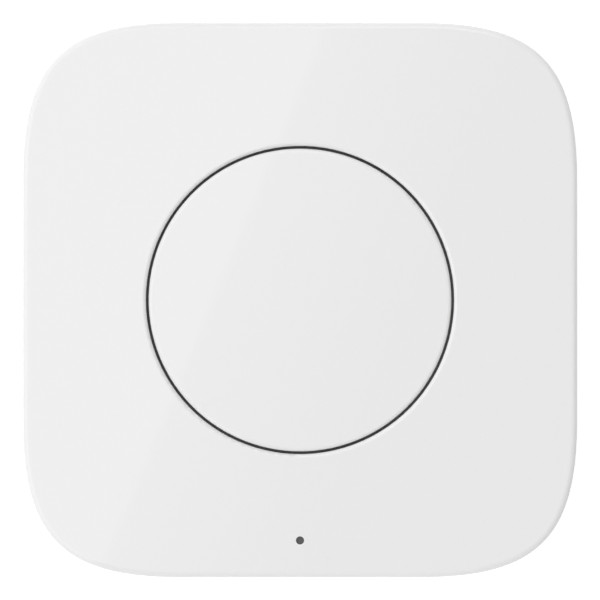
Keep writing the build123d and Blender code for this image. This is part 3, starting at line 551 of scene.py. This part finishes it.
class Bench:
    """Modelling steps that several pieces share."""

    past = MM

    @staticmethod
    def clear() -> None:
        """Leave nothing selected."""
        bpy.ops.object.select_all(action="DESELECT")

    @classmethod
    def take_up(cls, *pieces: Piece) -> None:
        """Select pieces, and make the first one active.

        Args:
            pieces: The pieces.
        """
        cls.clear()
        for piece in pieces:
            piece.select_set(True)
        bpy.context.view_layer.objects.active = pieces[0]

    @classmethod
    def cylinder(
        cls, radius: float, span: Place, place: Place = MIDDLE, corners: int = 96
    ) -> Piece:
        """Add an upright cylinder.

        Args:
            radius: Its radius.
            span: Height of its foot and of its top.
            place: Its middle, seen from above.
            corners: Corners round its rim.

        Returns:
            The new piece.
        """
        cls.clear()
        bpy.ops.mesh.primitive_cylinder_add(
            vertices=corners,
            radius=radius,
            depth=span[1] - span[0],
            location=(*place, sum(span) / 2),
        )
        return bpy.context.object

    @classmethod
    def bar(cls, size: Place, span: Place, place: Place, turn: float) -> Piece:
        """Add a rectangular bar that lies flat.

        Args:
            size: Its length and width.
            span: Height of its underside and of its top.
            place: Its middle, seen from above.
            turn: Its angle round Z.

        Returns:
            The new piece.
        """
        cls.clear()
        bpy.ops.mesh.primitive_cube_add(
            size=1.0, location=(*place, sum(span) / 2), rotation=(0.0, 0.0, turn)
        )
        piece = bpy.context.object
        piece.scale = (*size, span[1] - span[0])
        return piece

    @classmethod
    def set_down(cls, piece: Piece) -> None:
        """Put a piece's place, turn and scale into its mesh."""
        cls.take_up(piece)
        bpy.ops.object.transform_apply(location=True, rotation=True, scale=True)

    @classmethod
    def modify(cls, piece: Piece, kind: str, **settings: object) -> None:
        """Give a piece a modifier and put it into its mesh.

        Args:
            piece: The piece.
            kind: The modifier's type.
            settings: The modifier's properties, by name.
        """
        cls.set_down(piece)
        step = piece.modifiers.new(kind.lower(), kind)
        for name, value in settings.items():
            setattr(step, name, value)
        bpy.ops.object.modifier_apply(modifier=step.name)

    @classmethod
    def combine(cls, piece: Piece, other: Piece, operation: str = "UNION") -> None:
        """Join a piece with another one, or cut it by that, which is used up.

        Args:
            piece: The piece that stays.
            other: The piece that is used up.
            operation: UNION or DIFFERENCE.
        """
        cls.set_down(other)
        cls.modify(piece, "BOOLEAN", operation=operation, solver="EXACT", object=other)
        bpy.data.objects.remove(other)

    @classmethod
    def drill(
        cls, piece: Piece, radius: float, place: Place = MIDDLE, corners: int = 96
    ) -> None:
        """Cut a round hole through a flat piece.

        Args:
            piece: The piece.
            radius: The hole's radius.
            place: Its middle, seen from above.
            corners: Corners round it.
        """
        cls.set_down(piece)
        levels = [point.co.z for point in piece.data.vertices]
        span = (min(levels) - cls.past, max(levels) + cls.past)
        cls.combine(piece, cls.cylinder(radius, span, place, corners), "DIFFERENCE")

    @staticmethod
    def pull(rise: float) -> None:
        """Extrude what is selected in edit mode along Z."""
        bpy.ops.mesh.extrude_region_move(TRANSFORM_OT_translate={"value": (0.0, 0.0, rise)})

    @classmethod
    def cut_levels(cls, piece: Piece, *levels: float, above_only: bool = False) -> None:
        """Cut edge loops round a piece.

        Args:
            piece: The piece.
            levels: Their heights.
            above_only: Whether what is under them is cleared away.
        """
        for level in levels:
            place = (0.0, 0.0, level)
            cls.work(
                piece,
                lambda place=place: bpy.ops.mesh.bisect(
                    plane_co=place, plane_no=UP, clear_inner=above_only
                ),
            )

    @classmethod
    def work(cls, piece: Piece, tool: Callable[[], object], pick: Pick | None = None) -> None:
        """Select faces in edit mode and use a tool on them.

        Args:
            piece: The piece to shape.
            tool: The step to take.
            pick: Says whether a face is selected; all are, without it.
        """
        cls.take_up(piece)
        bpy.ops.object.mode_set(mode="EDIT")
        bpy.ops.mesh.select_mode(type="FACE")
        bpy.ops.mesh.select_all(action="DESELECT")
        mesh = bmesh.from_edit_mesh(piece.data)
        for face in mesh.faces:
            face.select_set(pick is None or pick(face))
        bmesh.update_edit_mesh(piece.data)
        tool()
        bpy.ops.object.mode_set(mode="OBJECT")

    @classmethod
    def copy(
        cls, master: Piece, place: Point, turn: float = 0.0, scale: Point = (1.0, 1.0, 1.0)
    ) -> Piece:
        """Set down a copy of a piece, with a mesh of its own.

        Args:
            master: The piece that is modelled once.
            place: Where the copy goes.
            turn: Its angle round Z.
            scale: Its scale along each axis.

        Returns:
            The copy.
        """
        copy = bpy.data.objects.new(master.name, master.data.copy())
        bpy.context.scene.collection.objects.link(copy)
        copy.location, copy.rotation_euler, copy.scale = place, (0.0, 0.0, turn), scale
        cls.set_down(copy)
        return copy

    @classmethod
    def gather(cls, pieces: list[Piece]) -> Piece:
        """Make one piece of several that don't touch.

        Args:
            pieces: Pieces that are used up by it.

        Returns:
            The one piece.
        """
        cls.take_up(*pieces)
        bpy.ops.object.join()
        return pieces[0]


def solids_of(node: str) -> list[TwoPoints]:
    """Give the box of each separate solid in a CAD node.

    Args:
        node: The node's name.

    Returns:
        The lowest and highest corner of each.
    """
    mesh = bmesh.new()
    mesh.from_mesh(bpy.data.objects[node].data)
    bmesh.ops.remove_doubles(mesh, verts=mesh.verts, dist=MICRON)
    found: list[TwoPoints] = []
    seen: set[bmesh.types.BMVert] = set()
    for start in mesh.verts:
        if start in seen:
            continue
        seen.add(start)
        group, ahead = [], [start]
        while ahead:
            point = ahead.pop()
            group.append(point.co)
            for other in (edge.other_vert(point) for edge in point.link_edges):
                if other not in seen:
                    seen.add(other)
                    ahead.append(other)
        found.append((Vector(map(min, zip(*group))), Vector(map(max, zip(*group)))))
    mesh.free()
    return found


def round_place(radius: float, degrees: float) -> Place:
    """Give the place at a radius and an angle, seen from above."""
    angle = math.radians(degrees)
    return radius * math.cos(angle), radius * math.sin(angle)


# ---- Sub-assemblies ----


@dataclass
class SubAssembly:
    """What the builders of the sub-assemblies share."""

    shelf: FinishShelf
    smooth_angle: ClassVar[float] = math.radians(35)
    weld: ClassVar[float] = 0.5 * MICRON

    def finish(
        self, piece: Piece, name: str, slot: str, body: Body = Body.CASING, look: str = ""
    ) -> None:
        """Name, smooth and dress a piece, and let it ride on its body.

        Args:
            piece: The modelled piece.
            name: Its name.
            slot: The record's slot that it takes its finish from.
            body: The body that it moves with.
            look: A variant of that finish, where it has one.
        """
        Bench.set_down(piece)
        piece.name = piece.data.name = name
        bpy.ops.object.mode_set(mode="EDIT")
        bpy.ops.mesh.select_all(action="SELECT")
        bpy.ops.mesh.remove_doubles(threshold=self.weld)
        bpy.ops.mesh.normals_make_consistent(inside=False)
        bpy.ops.object.mode_set(mode="OBJECT")
        bpy.ops.object.shade_smooth_by_angle(angle=self.smooth_angle)
        self.shelf.dress(piece, look or slot)
        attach(piece, body.value)
        log.info("%s rides on %s with %d faces", name, body.value, len(piece.data.polygons))


@dataclass
class MountingPad(SubAssembly):
    """The die-cut foam pad that sticks the button to a wall."""

    corner_reach: float = 9.80 * MM
    corner_profile: float = 0.607
    corner_steps: int = 20
    hole_radius: float = 14.7 * MM
    hole_corners: int = 160
    film: float = 0.12 * MM
    squeeze: float = 0.06 * MM
    loop_height: float = 0.01 * MM
    hole_margin: float = 0.2 * MM

    def build(self) -> None:
        low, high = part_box("adhesive_pad")
        Bench.clear()
        bpy.ops.mesh.primitive_plane_add(size=2 * high.x)
        pad = bpy.context.object
        Bench.work(pad, self.round_corners)
        Bench.work(pad, lambda: Bench.pull(high.z - low.z))
        Bench.drill(pad, self.hole_radius, corners=self.hole_corners)
        middle = (low.z + high.z) / 2
        Bench.cut_levels(pad, low.z + self.film, middle, high.z - self.film)
        self.draw_in(pad, middle)
        self.finish(pad, "foam_pad", "pad_foam")
        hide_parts("adhesive_pad")

    def round_corners(self) -> None:
        """Round the four corners of the blank."""
        bpy.ops.mesh.select_mode(type="VERT")
        bpy.ops.mesh.select_all(action="SELECT")
        bpy.ops.mesh.bevel(
            offset=self.corner_reach,
            segments=self.corner_steps,
            profile=self.corner_profile,
            affect="VERTICES",
        )

    def draw_in(self, pad: Piece, middle: float) -> None:
        """Draw the outer wall in half way up, where the foam is squeezed.

        Args:
            pad: The pad, with a loop of points half way up.
            middle: That loop's level.
        """
        for point in pad.data.vertices:
            if abs(point.co.z - middle) < self.loop_height:
                flat = Vector((point.co.x, point.co.y, 0.0))
                outward = 1 if flat.length > self.hole_radius + self.hole_margin else -1
                point.co -= flat.normalized() * self.squeeze * outward


@dataclass
class Flexure(SubAssembly):
    """The coated spring plate: a fixed ring with ears, a ring on the cap, and four arms."""

    ring: Place = (8.08 * MM, 10.08 * MM)
    arm: Place = (10.53 * MM, 11.53 * MM)
    plate: Place = (11.98 * MM, 13.98 * MM)
    stake_circle: float = 9.08 * MM
    stake_hole: float = 0.6 * MM
    ear_circle: float = 18.88 * MM
    ear_width: float = 3.6 * MM
    ear_hole: float = 0.65 * MM
    sweep: float = 64.0
    foot_sweep: float = 7.0
    edge: float = 0.03 * MM
    spokes: int = 4
    rim_corners: int = 144
    hole_corners: int = 32
    end_corners: int = 48
    step_degrees: float = 2.0

    def build(self) -> None:
        """Build the fixed plate, the moving ring and the arms between them."""
        low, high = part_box("button_flexure")
        span = (low.z, high.z)
        plate = self.fixed_plate(span)
        self.finish(plate, "flexure_plate", "coated_spring")
        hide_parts("button_flexure")
        ring = Bench.cylinder(self.ring[1], span, corners=self.rim_corners)
        Bench.drill(ring, self.ring[0])
        for spoke in range(self.spokes):
            place = round_place(self.stake_circle, 360 / self.spokes * spoke)
            Bench.drill(ring, self.stake_hole, place, self.hole_corners)
        self.soften(ring)
        self.finish(ring, "flexure_ring", "coated_spring", Body.BUTTON)
        for spoke in range(self.spokes):
            self.build_arm(spoke, span)

    def soften(self, piece: Piece) -> None:
        """Break the edges of the sheet."""
        Bench.modify(piece, "BEVEL", width=self.edge, segments=1, limit_method="ANGLE")

    def fixed_plate(self, span: Place) -> Piece:
        """Build the outer ring with its four screwed ears.

        Args:
            span: Level of its underside and of its top.

        Returns:
            The plate.
        """
        plate = Bench.cylinder(self.plate[1], span, corners=self.rim_corners)
        ear = (self.ear_circle, self.ear_width)
        for spoke in range(self.spokes):
            degrees = 360 / self.spokes * (spoke + 0.5)
            screw = round_place(self.ear_circle, degrees)
            middle = round_place(self.ear_circle / 2, degrees)
            Bench.combine(plate, Bench.bar(ear, span, middle, math.radians(degrees)))
            end = Bench.cylinder(self.ear_width / 2, span, screw, self.end_corners)
            Bench.combine(plate, end)
            Bench.drill(plate, self.ear_hole, screw, self.hole_corners)
        Bench.drill(plate, self.plate[0], corners=self.rim_corners)
        self.soften(plate)
        return plate

    def stretch(self, radii: Place, degrees: float, sweep: float, span: Place) -> Piece:
        """Spin a stretch of flat ring.

        Args:
            radii: Its inner and outer radius.
            degrees: The angle of its middle.
            sweep: The angle that it spans.
            span: Level of its underside and of its top.

        Returns:
            The stretch.
        """
        first = degrees - sweep / 2
        Bench.clear()
        bpy.ops.mesh.primitive_plane_add(
            size=1.0,
            location=(*round_place(sum(radii) / 2, first), sum(span) / 2),
            rotation=(math.pi / 2, 0.0, math.radians(first)),
        )
        piece = bpy.context.object
        piece.scale = (radii[1] - radii[0], span[1] - span[0], 1.0)
        Bench.set_down(piece)
        steps = round(sweep / self.step_degrees)
        Bench.work(
            piece,
            lambda: bpy.ops.mesh.spin(
                steps=steps, angle=-math.radians(sweep), center=(0.0, 0.0, 0.0), axis=UP
            ),
        )
        Bench.work(piece, lambda: bpy.ops.mesh.normals_make_consistent(inside=False))
        return piece

    def build_arm(self, spoke: int, span: Place) -> None:
        """Build one arm with a foot at each end.

        Args:
            spoke: Which of the four it is.
            span: Level of its underside and of its top.
        """
        degrees = 360 / self.spokes * spoke
        reach = (self.sweep - self.foot_sweep) / 2
        middle = sum(self.arm) / 2
        arm = self.stretch(self.arm, degrees, self.sweep, span)
        feet = ((self.ring[1], middle), -reach), ((middle, self.plate[0]), reach)
        for radii, turn in feet:
            Bench.combine(arm, self.stretch(radii, degrees + turn, self.foot_sweep, span))
        self.finish(arm, f"flexure_arm_{spoke + 1}", "coated_spring")
        arm.parent = None
        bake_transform(arm)


@dataclass
class SnapDome(SubAssembly):
    """The switch's snap dome."""

    sheet: float = 0.08 * MM
    flat_share: float = 1 / 3
    segments: int = 64
    rings: int = 128

    def build(self) -> None:
        """Cut the dome out of a sphere, give it its sheet's thickness and lift any point below
        its base up to the base.
        """
        low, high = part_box("tact_dome")
        rise = high.z - low.z
        radius = (high.x**2 + rise**2) / (2 * rise)
        Bench.clear()
        bpy.ops.mesh.primitive_uv_sphere_add(
            segments=self.segments,
            ring_count=self.rings,
            radius=radius,
            location=(0.0, 0.0, high.z - radius),
        )
        dome = bpy.context.object
        Bench.set_down(dome)
        Bench.cut_levels(dome, low.z, above_only=True)
        Bench.modify(dome, "SOLIDIFY", thickness=self.sheet, offset=-1.0)
        for point in dome.data.vertices:
            point.co.z = max(point.co.z, low.z)
        self.finish(dome, "snap_dome", "spring_steel")
        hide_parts("tact_dome")
        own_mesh(dome)


@dataclass
class BoardCopper(SubAssembly):
    """The board's tracks under their green mask, and its plated vias."""

    width: float = 0.22 * MM
    rise: float = 0.02 * MM
    same_place: float = 0.1 * MICRON
    via_radius: float = 0.30 * MM
    via_corners: int = 20
    via_land: float = 0.14 * MM
    via_rise: float = 0.03 * MM
    via_depth_share: float = 0.8
    upward: float = 0.9
    ways: tuple[Way, ...] = (
        ((-8.0, 9.97), (-8.0, 12.9)),
        ((-7.25, 7.6), (-5.7, 7.6)),
        ((-7.25, 6.3), (-5.7, 6.3)),
        ((-10.8, 3.97), (-10.8, 2.24)),
        ((-9.7, 3.97), (-9.7, 2.24)),
        ((8.4, 8.875), (7.2, 8.875), (5.0, 11.1), (-5.4, 11.1), (-7.25, 9.25)),
        ((8.4, 7.605), (7.0, 7.605), (4.0, 10.6), (-5.2, 10.6), (-7.25, 8.55)),
        ((-4.6, 2.25), (-6.0, 2.25), (-7.6, 3.97)),
        ((-4.6, -2.25), (-6.2, -2.25), (-7.2, -3.25)),
        ((4.6, 2.25), (5.2, 2.25), (6.0, 3.05), (6.0, 4.2)),
        ((4.6, -2.25), (6.5, -2.25), (9.6, -5.35), (9.6, -7.2)),
        ((-1.9, -18.9), (-4.4, -18.9)),
        ((-5.5, -17.22), (-12.4, -10.3), (-12.4, 3.97)),
        ((-5.5, -18.86), (-6.4, -18.86), (-14.0, -11.3), (-14.0, 2.6), (-13.0, 3.97)),
        ((-9.2, -6.15), (-11.0, -4.35), (-11.0, -1.4)),
        ((-8.0, -6.15), (-6.6, -4.75), (-6.6, -4.1)),
        ((-9.2, -7.79), (-10.9, -9.49)),
        ((-14.4, 3.69), (-13.25, 4.3)),
        ((-14.4, 5.33), (-13.25, 5.33)),
        ((-14.4, 6.97), (-13.25, 6.97)),
        ((-4.7, 4.51), (-7.25, 4.9)),
        ((12.9, -8.61), (15.5, -8.61), (17.5, -6.61), (17.5, 2.3), (14.7, 5.06), (13.4, 5.06)),
    )
    ways_under: tuple[Way, ...] = (
        ((-3.8, -15.4), (-3.8, -14.9), (-9.0, -9.7), (-11.1, -9.7)),
        ((-1.9, -15.4), (-1.9, -12.9), (-6.6, -8.2), (-6.6, -3.8)),
        ((0.0, -15.4), (0.0, -13.6), (1.0, -12.6), (6.0, -12.6)),
        ((1.9, -15.4), (1.9, -14.7), (2.7, -13.9), (13.1, -13.9), (14.6, -12.4)),
        (
            (4.4, -15.99), (7.2, -15.99), (8.0, -15.2), (15.5, -15.2),
            (18.3, -12.4), (18.3, -5.8), (19.6, -4.5),
        ),
        ((14.0, 0.0), (15.6, 1.6), (15.6, 9.0)),
        ((-7.2, 0.0), (-9.9, 0.0), (-11.0, -1.1)),
        ((-7.4, -3.45), (-8.6, -4.65), (-15.4, -4.65), (-16.6, -3.45)),
        ((-1.0, 6.4), (-1.0, 9.0), (0.2, 10.2), (3.0, 10.2), (4.2, 9.0), (4.2, 6.2)),
    )
    vias: Way = (
        (-7.4, -3.45), (-11.0, -1.1), (-6.6, -3.8), (-11.1, -9.7), (14.0, 10.2), (15.6, 9.0),
        (4.2, 6.2), (-1.0, 6.4), (1.4, 7.4), (14.6, -12.4), (6.0, -12.6), (-16.6, -3.4),
    )
    edge_vias: tuple[float, ...] = (-10.5, -7.5, -4.5, -1.5, 1.5)
    edge_inset: float = 0.9 * MM

    def build(self) -> None:
        """Lay the tracks and set the vias on both faces of the board."""
        low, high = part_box("circuit_board")
        tracks = [self.lay(way, high.z, self.rise) for way in self.ways]
        tracks += [self.lay(way, low.z, -self.rise) for way in self.ways_under]
        self.finish(Bench.gather(tracks), "board_tracks", "board_mask", look="masked_track")
        via = Bench.cylinder(self.via_radius, (0.0, self.via_rise), corners=self.via_corners)
        Bench.set_down(via)
        Bench.work(via, self.sink, lambda face: face.normal.z > self.upward)
        places = [(x * MM, y * MM) for x, y in self.vias]
        for side in (low.x + self.edge_inset, high.x - self.edge_inset):
            places += [(side, step * MM) for step in self.edge_vias]
        copies = [Bench.copy(via, (*place, high.z)) for place in places]
        under = (1.0, 1.0, -1.0)
        copies += [Bench.copy(via, (*place, low.z), 0.0, under) for place in places]
        bpy.data.objects.remove(via)
        self.finish(Bench.gather(copies), "board_vias", "gold_copper")

    def sink(self) -> None:
        """Leave a land round a via's hole and sink the hole."""
        bpy.ops.mesh.inset(thickness=self.via_land)
        Bench.pull(-self.via_depth_share * self.via_rise)

    def lay(self, way: Way, level: float, rise: float) -> Piece:
        """Lay one flat track with mitred corners.

        Args:
            way: The points that it runs through, in millimetres.
            level: The board's face.
            rise: How far it stands out of that face, negative on the lower one.

        Returns:
            The track.
        """
        points = [Vector(point) * MM for point in way]
        runs = [(after - before).normalized() for before, after in zip(points, points[1:])]
        sides: list[TwoPoints] = []
        for point, before, after in zip(points, [runs[0], *runs], [*runs, runs[-1]]):
            mitre = (before + after).normalized()
            reach = self.width / 2 / mitre.dot(before)
            across = Vector((-mitre.y, mitre.x)) * reach
            sides.append((point + across, point - across))
        Bench.clear()
        bpy.ops.mesh.primitive_plane_add(size=1.0)
        track = bpy.context.object
        for vertex, corner in zip(track.data.vertices, (*sides[0], *sides[1])):
            vertex.co = (*corner, level)
        bpy.ops.object.mode_set(mode="EDIT")
        bpy.ops.mesh.select_mode(type="VERT")
        for before, after in zip(sides[1:], sides[2:]):
            self.extend(track, before, after)
        bpy.ops.object.mode_set(mode="OBJECT")
        Bench.work(track, lambda: Bench.pull(rise))
        return track

    def extend(self, track: Piece, before: TwoPoints, after: TwoPoints) -> None:
        """Extrude the end of a track to its next corner.

        Args:
            track: The track, in edit mode.
            before: The two points at its present end.
            after: The two points at its next corner.
        """
        bpy.ops.mesh.select_all(action="DESELECT")
        mesh = bmesh.from_edit_mesh(track.data)
        for vertex in mesh.verts:
            near = [(vertex.co.xy - end).length < self.same_place for end in before]
            vertex.select_set(any(near))
        mesh.select_flush(True)
        bmesh.update_edit_mesh(track.data)
        bpy.ops.mesh.extrude_region_move()
        mesh = bmesh.from_edit_mesh(track.data)
        for vertex in [vertex for vertex in mesh.verts if vertex.select]:
            side = 0 if (vertex.co.xy - before[0]).length < self.same_place else 1
            vertex.co.xy = after[side]
        bmesh.update_edit_mesh(track.data)


@dataclass
class SolderWork(SubAssembly):
    """The solder fillets at the feet of the soldered parts."""

    reach: float = 0.24 * MM
    most_rise: float = 0.22 * MM
    rise_share: float = 0.6
    width_share: float = 0.92
    levels: tuple[float, ...] = (0.25, 0.5, 0.75)
    lip: float = 0.12
    draw_in: float = 0.25

    def build(self) -> None:
        """Set a fillet at the outer end of every terminal."""
        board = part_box("circuit_board")[1].z
        wedge = self.wedge()
        fillets = []
        small = solids_of("capacitors") + solids_of("resistors")
        for node, bodies in (
            ("part_terminals", small),
            ("tact_terminals", [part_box("tact_base")]),
            ("memory_leads", [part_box("memory_chip")]),
            ("store_feet", [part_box("store_capacitor")]),
        ):
            for terminal in solids_of(node):
                fillets.append(self.place(wedge, terminal, bodies, board))
        bpy.data.objects.remove(wedge)
        self.finish(Bench.gather(fillets), "solder_fillets", "tin")

    def wedge(self) -> Piece:
        """Model one fillet at unit size, hollowed towards its thin edge.

        Returns:
            The fillet.
        """
        Bench.clear()
        bpy.ops.mesh.primitive_cube_add(size=1.0, location=(0.5, 0.0, 0.5))
        wedge = bpy.context.object
        Bench.set_down(wedge)
        Bench.cut_levels(wedge, *self.levels)
        for point in wedge.data.vertices:
            if point.co.x > 0.5:
                point.co.x = max(self.lip, (1 - point.co.z) ** 2)
                point.co.y *= 1 - self.draw_in * point.co.z
        return wedge

    def place(
        self, wedge: Piece, terminal: TwoPoints, bodies: list[TwoPoints], board: float
    ) -> Piece:
        """Set one fillet against a terminal's outer end.

        Args:
            wedge: The fillet that is modelled once.
            terminal: The terminal's box.
            bodies: The boxes of the parts that it may belong to.
            board: The level of the board's face.

        Returns:
            The fillet.
        """
        low, high = terminal
        middle = ((low + high) / 2).xy
        centres = [((first + last) / 2).xy for first, last in bodies]
        out = middle - min(centres, key=lambda centre: (centre - middle).length)
        axis = 0 if abs(out.x) > abs(out.y) else 1
        size, step = high - low, Vector((0.0, 0.0))
        step[axis] = math.copysign(size[axis] / 2, out[axis])
        width = (size * self.width_share)[1 - axis]
        rise = min(self.most_rise, (high.z - board) * self.rise_share)
        turn = math.atan2(step.y, step.x)
        return Bench.copy(wedge, (*(middle + step), board), turn, (self.reach, width, rise))


# ---- Studio ----


@dataclass
class Studio:
    """Floor, lamps, world and camera, set as the photograph was taken: from straight above."""

    camera_height: float = 1.0
    view_width: float = 48.66 * MM
    sensor_width: float = 36.0
    nearest: float = 0.01
    floor_half: float = 6.0
    floor_drop: float = 0.02 * MM
    floor_tone: float = 0.9
    floor_gloss: float = 0.9
    floor_glow: float = 0.57
    floor_opening: float = 20.4 * MM
    floor_opening_power: float = 6.0
    softbox_height: float = 2.0
    softbox_side: float = 4.0
    softbox_edge_angle: float = math.radians(67.5)
    softbox_edge_place: Place = (-6.9 * MM, 0.4 * MM)
    softbox_radiance: float = 1.32
    softbox_slide: float = -0.3
    softbox_fade: float = 46.0 * MM
    softbox_fade_level: float = 0.6
    sky: float = 0.425
    card_glow: float = 1.6
    card_focus: float = 5.0

    def build(self, face_level: float) -> None:
        """Set the whole studio.

        Args:
            face_level: Height of the button's face above the floor.
        """
        self.lay_floor()
        self.light_world()
        self.hang_softbox(face_level)
        self.set_camera(face_level)
        bpy.context.scene.view_settings.view_transform = "Standard"
        log.info("studio set, camera %.3f m above the floor", self.camera_height)

    def lay_floor(self) -> None:
        """Lay the pale floor, white to the camera, that keeps the object's shadow."""
        bpy.ops.mesh.primitive_plane_add(
            size=2 * self.floor_half, location=(0.0, 0.0, -self.floor_drop)
        )
        floor = bpy.context.object
        floor.name = "floor"
        material = bpy.data.materials.new("floor_paper")
        material.use_nodes = True
        desk = NodeDesk(material.node_tree)
        nodes = material.node_tree.nodes
        paper = nodes["Principled BSDF"]
        desk.feed(paper, Base_Color=(*grey(self.floor_tone), 1.0), Roughness=self.floor_gloss)
        glow = desk.feed(desk.add("ShaderNodeEmission"), Strength=self.floor_glow)
        plain, light = paper.outputs["BSDF"], glow.outputs["Emission"]
        lit = desk.add("ShaderNodeAddShader", plain, light).outputs["Shader"]
        back = desk.add("ShaderNodeNewGeometry").outputs["Backfacing"]
        open_parts = desk.sums("MAXIMUM", back, self.under_object(desk))
        clear = desk.add("ShaderNodeBsdfTransparent").outputs["BSDF"]
        shown = desk.choose(open_parts, desk.choose(desk.looked_at(), plain, lit), clear)
        desk.feed(nodes["Material Output"], Surface=shown)
        floor.data.materials.append(material)

    def under_object(self, desk: NodeDesk) -> Socket:
        """Mask the patch that the pad covers, left open so that light reaches the back.

        Args:
            desk: The floor material's nodes.

        Returns:
            A mask that is 1 under the pad and 0 elsewhere.
        """
        place = desk.parts(desk.add("ShaderNodeTexCoord").outputs["Object"])
        shares = (desk.sums("DIVIDE", place[axis], self.floor_opening) for axis in "XY")
        across, along = (
            desk.sums("POWER", share, self.floor_opening_power) for share in shares
        )
        return desk.sums("LESS_THAN", desk.sums("ADD", across, along), 1.0)

    def light_world(self) -> None:
        """Light from all round, with a card at the top and the bottom, and show white."""
        world = bpy.data.worlds.new("studio_sky")
        bpy.context.scene.world = world
        world.use_nodes = True
        desk = NodeDesk(world.node_tree)
        nodes = world.node_tree.nodes
        sky, white = nodes["Background"], desk.add("ShaderNodeBackground")
        desk.feed(white, Color=WHITE, Strength=1.0)
        across = desk.parts(desk.add("ShaderNodeTexCoord").outputs["Generated"])["Y"]
        cards = desk.sums("POWER", desk.sums("MULTIPLY", across, across), self.card_focus)
        light = desk.sums("ADD", desk.sums("MULTIPLY", cards, self.card_glow), self.sky)
        desk.feed(sky, Color=WHITE, Strength=light)
        shown = desk.choose(
            desk.looked_at(), sky.outputs["Background"], white.outputs["Background"]
        )
        desk.feed(nodes["World Output"], Surface=shown)

    def hang_softbox(self, face_level: float) -> None:
        """Hang the softbox above the camera, its mirror image's edge across the face.

        Args:
            face_level: Height of the button's face above the floor.
        """
        reach = self.softbox_height - face_level
        grow = 1.0 + reach / (self.camera_height - face_level)
        edge = Vector(self.softbox_edge_place) * grow
        angle = self.softbox_edge_angle
        along = Vector((math.cos(angle), math.sin(angle)))
        away = along.orthogonal()
        centre = edge + along * self.softbox_slide
        centre += away * (self.softbox_side / 2 - self.softbox_fade)
        lamp = bpy.data.lights.new("softbox", "AREA")
        lamp.shape = "SQUARE"
        lamp.size = self.softbox_side
        lamp.energy = self.softbox_radiance * math.pi * self.softbox_side**2
        lamp.use_nodes = True
        desk = NodeDesk(lamp.node_tree)
        across = desk.parts(desk.add("ShaderNodeNewGeometry").outputs["Parametric"])["Y"]
        share, most = self.softbox_fade / self.softbox_side, self.softbox_fade_level
        spill = desk.spread(across, 0.0, most, 0.0, share)
        full = desk.sums("GREATER_THAN", across, share)
        level = desk.sums("ADD", spill, desk.sums("MULTIPLY", full, 1 - most))
        desk.feed(lamp.node_tree.nodes["Emission"], Strength=level)
        box = self.put_up("softbox", lamp)
        box.location = (centre.x, centre.y, self.softbox_height)
        box.rotation_euler = (0.0, 0.0, angle)

    @staticmethod
    def put_up(name: str, data: bpy.types.ID) -> Piece:
        """Add a lamp or a camera to the scene.

        Args:
            name: Its name.
            data: What it is.

        Returns:
            The new object.
        """
        thing = bpy.data.objects.new(name, data)
        bpy.context.scene.collection.objects.link(thing)
        return thing

    def set_camera(self, face_level: float) -> None:
        """Look straight down with a long lens that frames the face as photographed.

        Args:
            face_level: Height of the button's face above the floor.
        """
        data = bpy.data.cameras.new("camera")
        data.sensor_width = self.sensor_width
        data.lens = data.sensor_width * (self.camera_height - face_level) / self.view_width
        data.clip_start = self.nearest
        camera = self.put_up("camera", data)
        camera.location = (0.0, 0.0, self.camera_height)
        bpy.context.scene.camera = camera


def main() -> None:
    """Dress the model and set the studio."""
    logging.basicConfig(level=logging.INFO, format="%(message)s")
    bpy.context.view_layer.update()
    shelf = FinishShelf()
    shelf.dress_nodes()
    MountingPad(shelf).build()
    Flexure(shelf).build()
    SnapDome(shelf).build()
    BoardCopper(shelf).build()
    SolderWork(shelf).build()
    Studio().build(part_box("front_shell")[1].z)


if __name__ == "__main__":
    main()
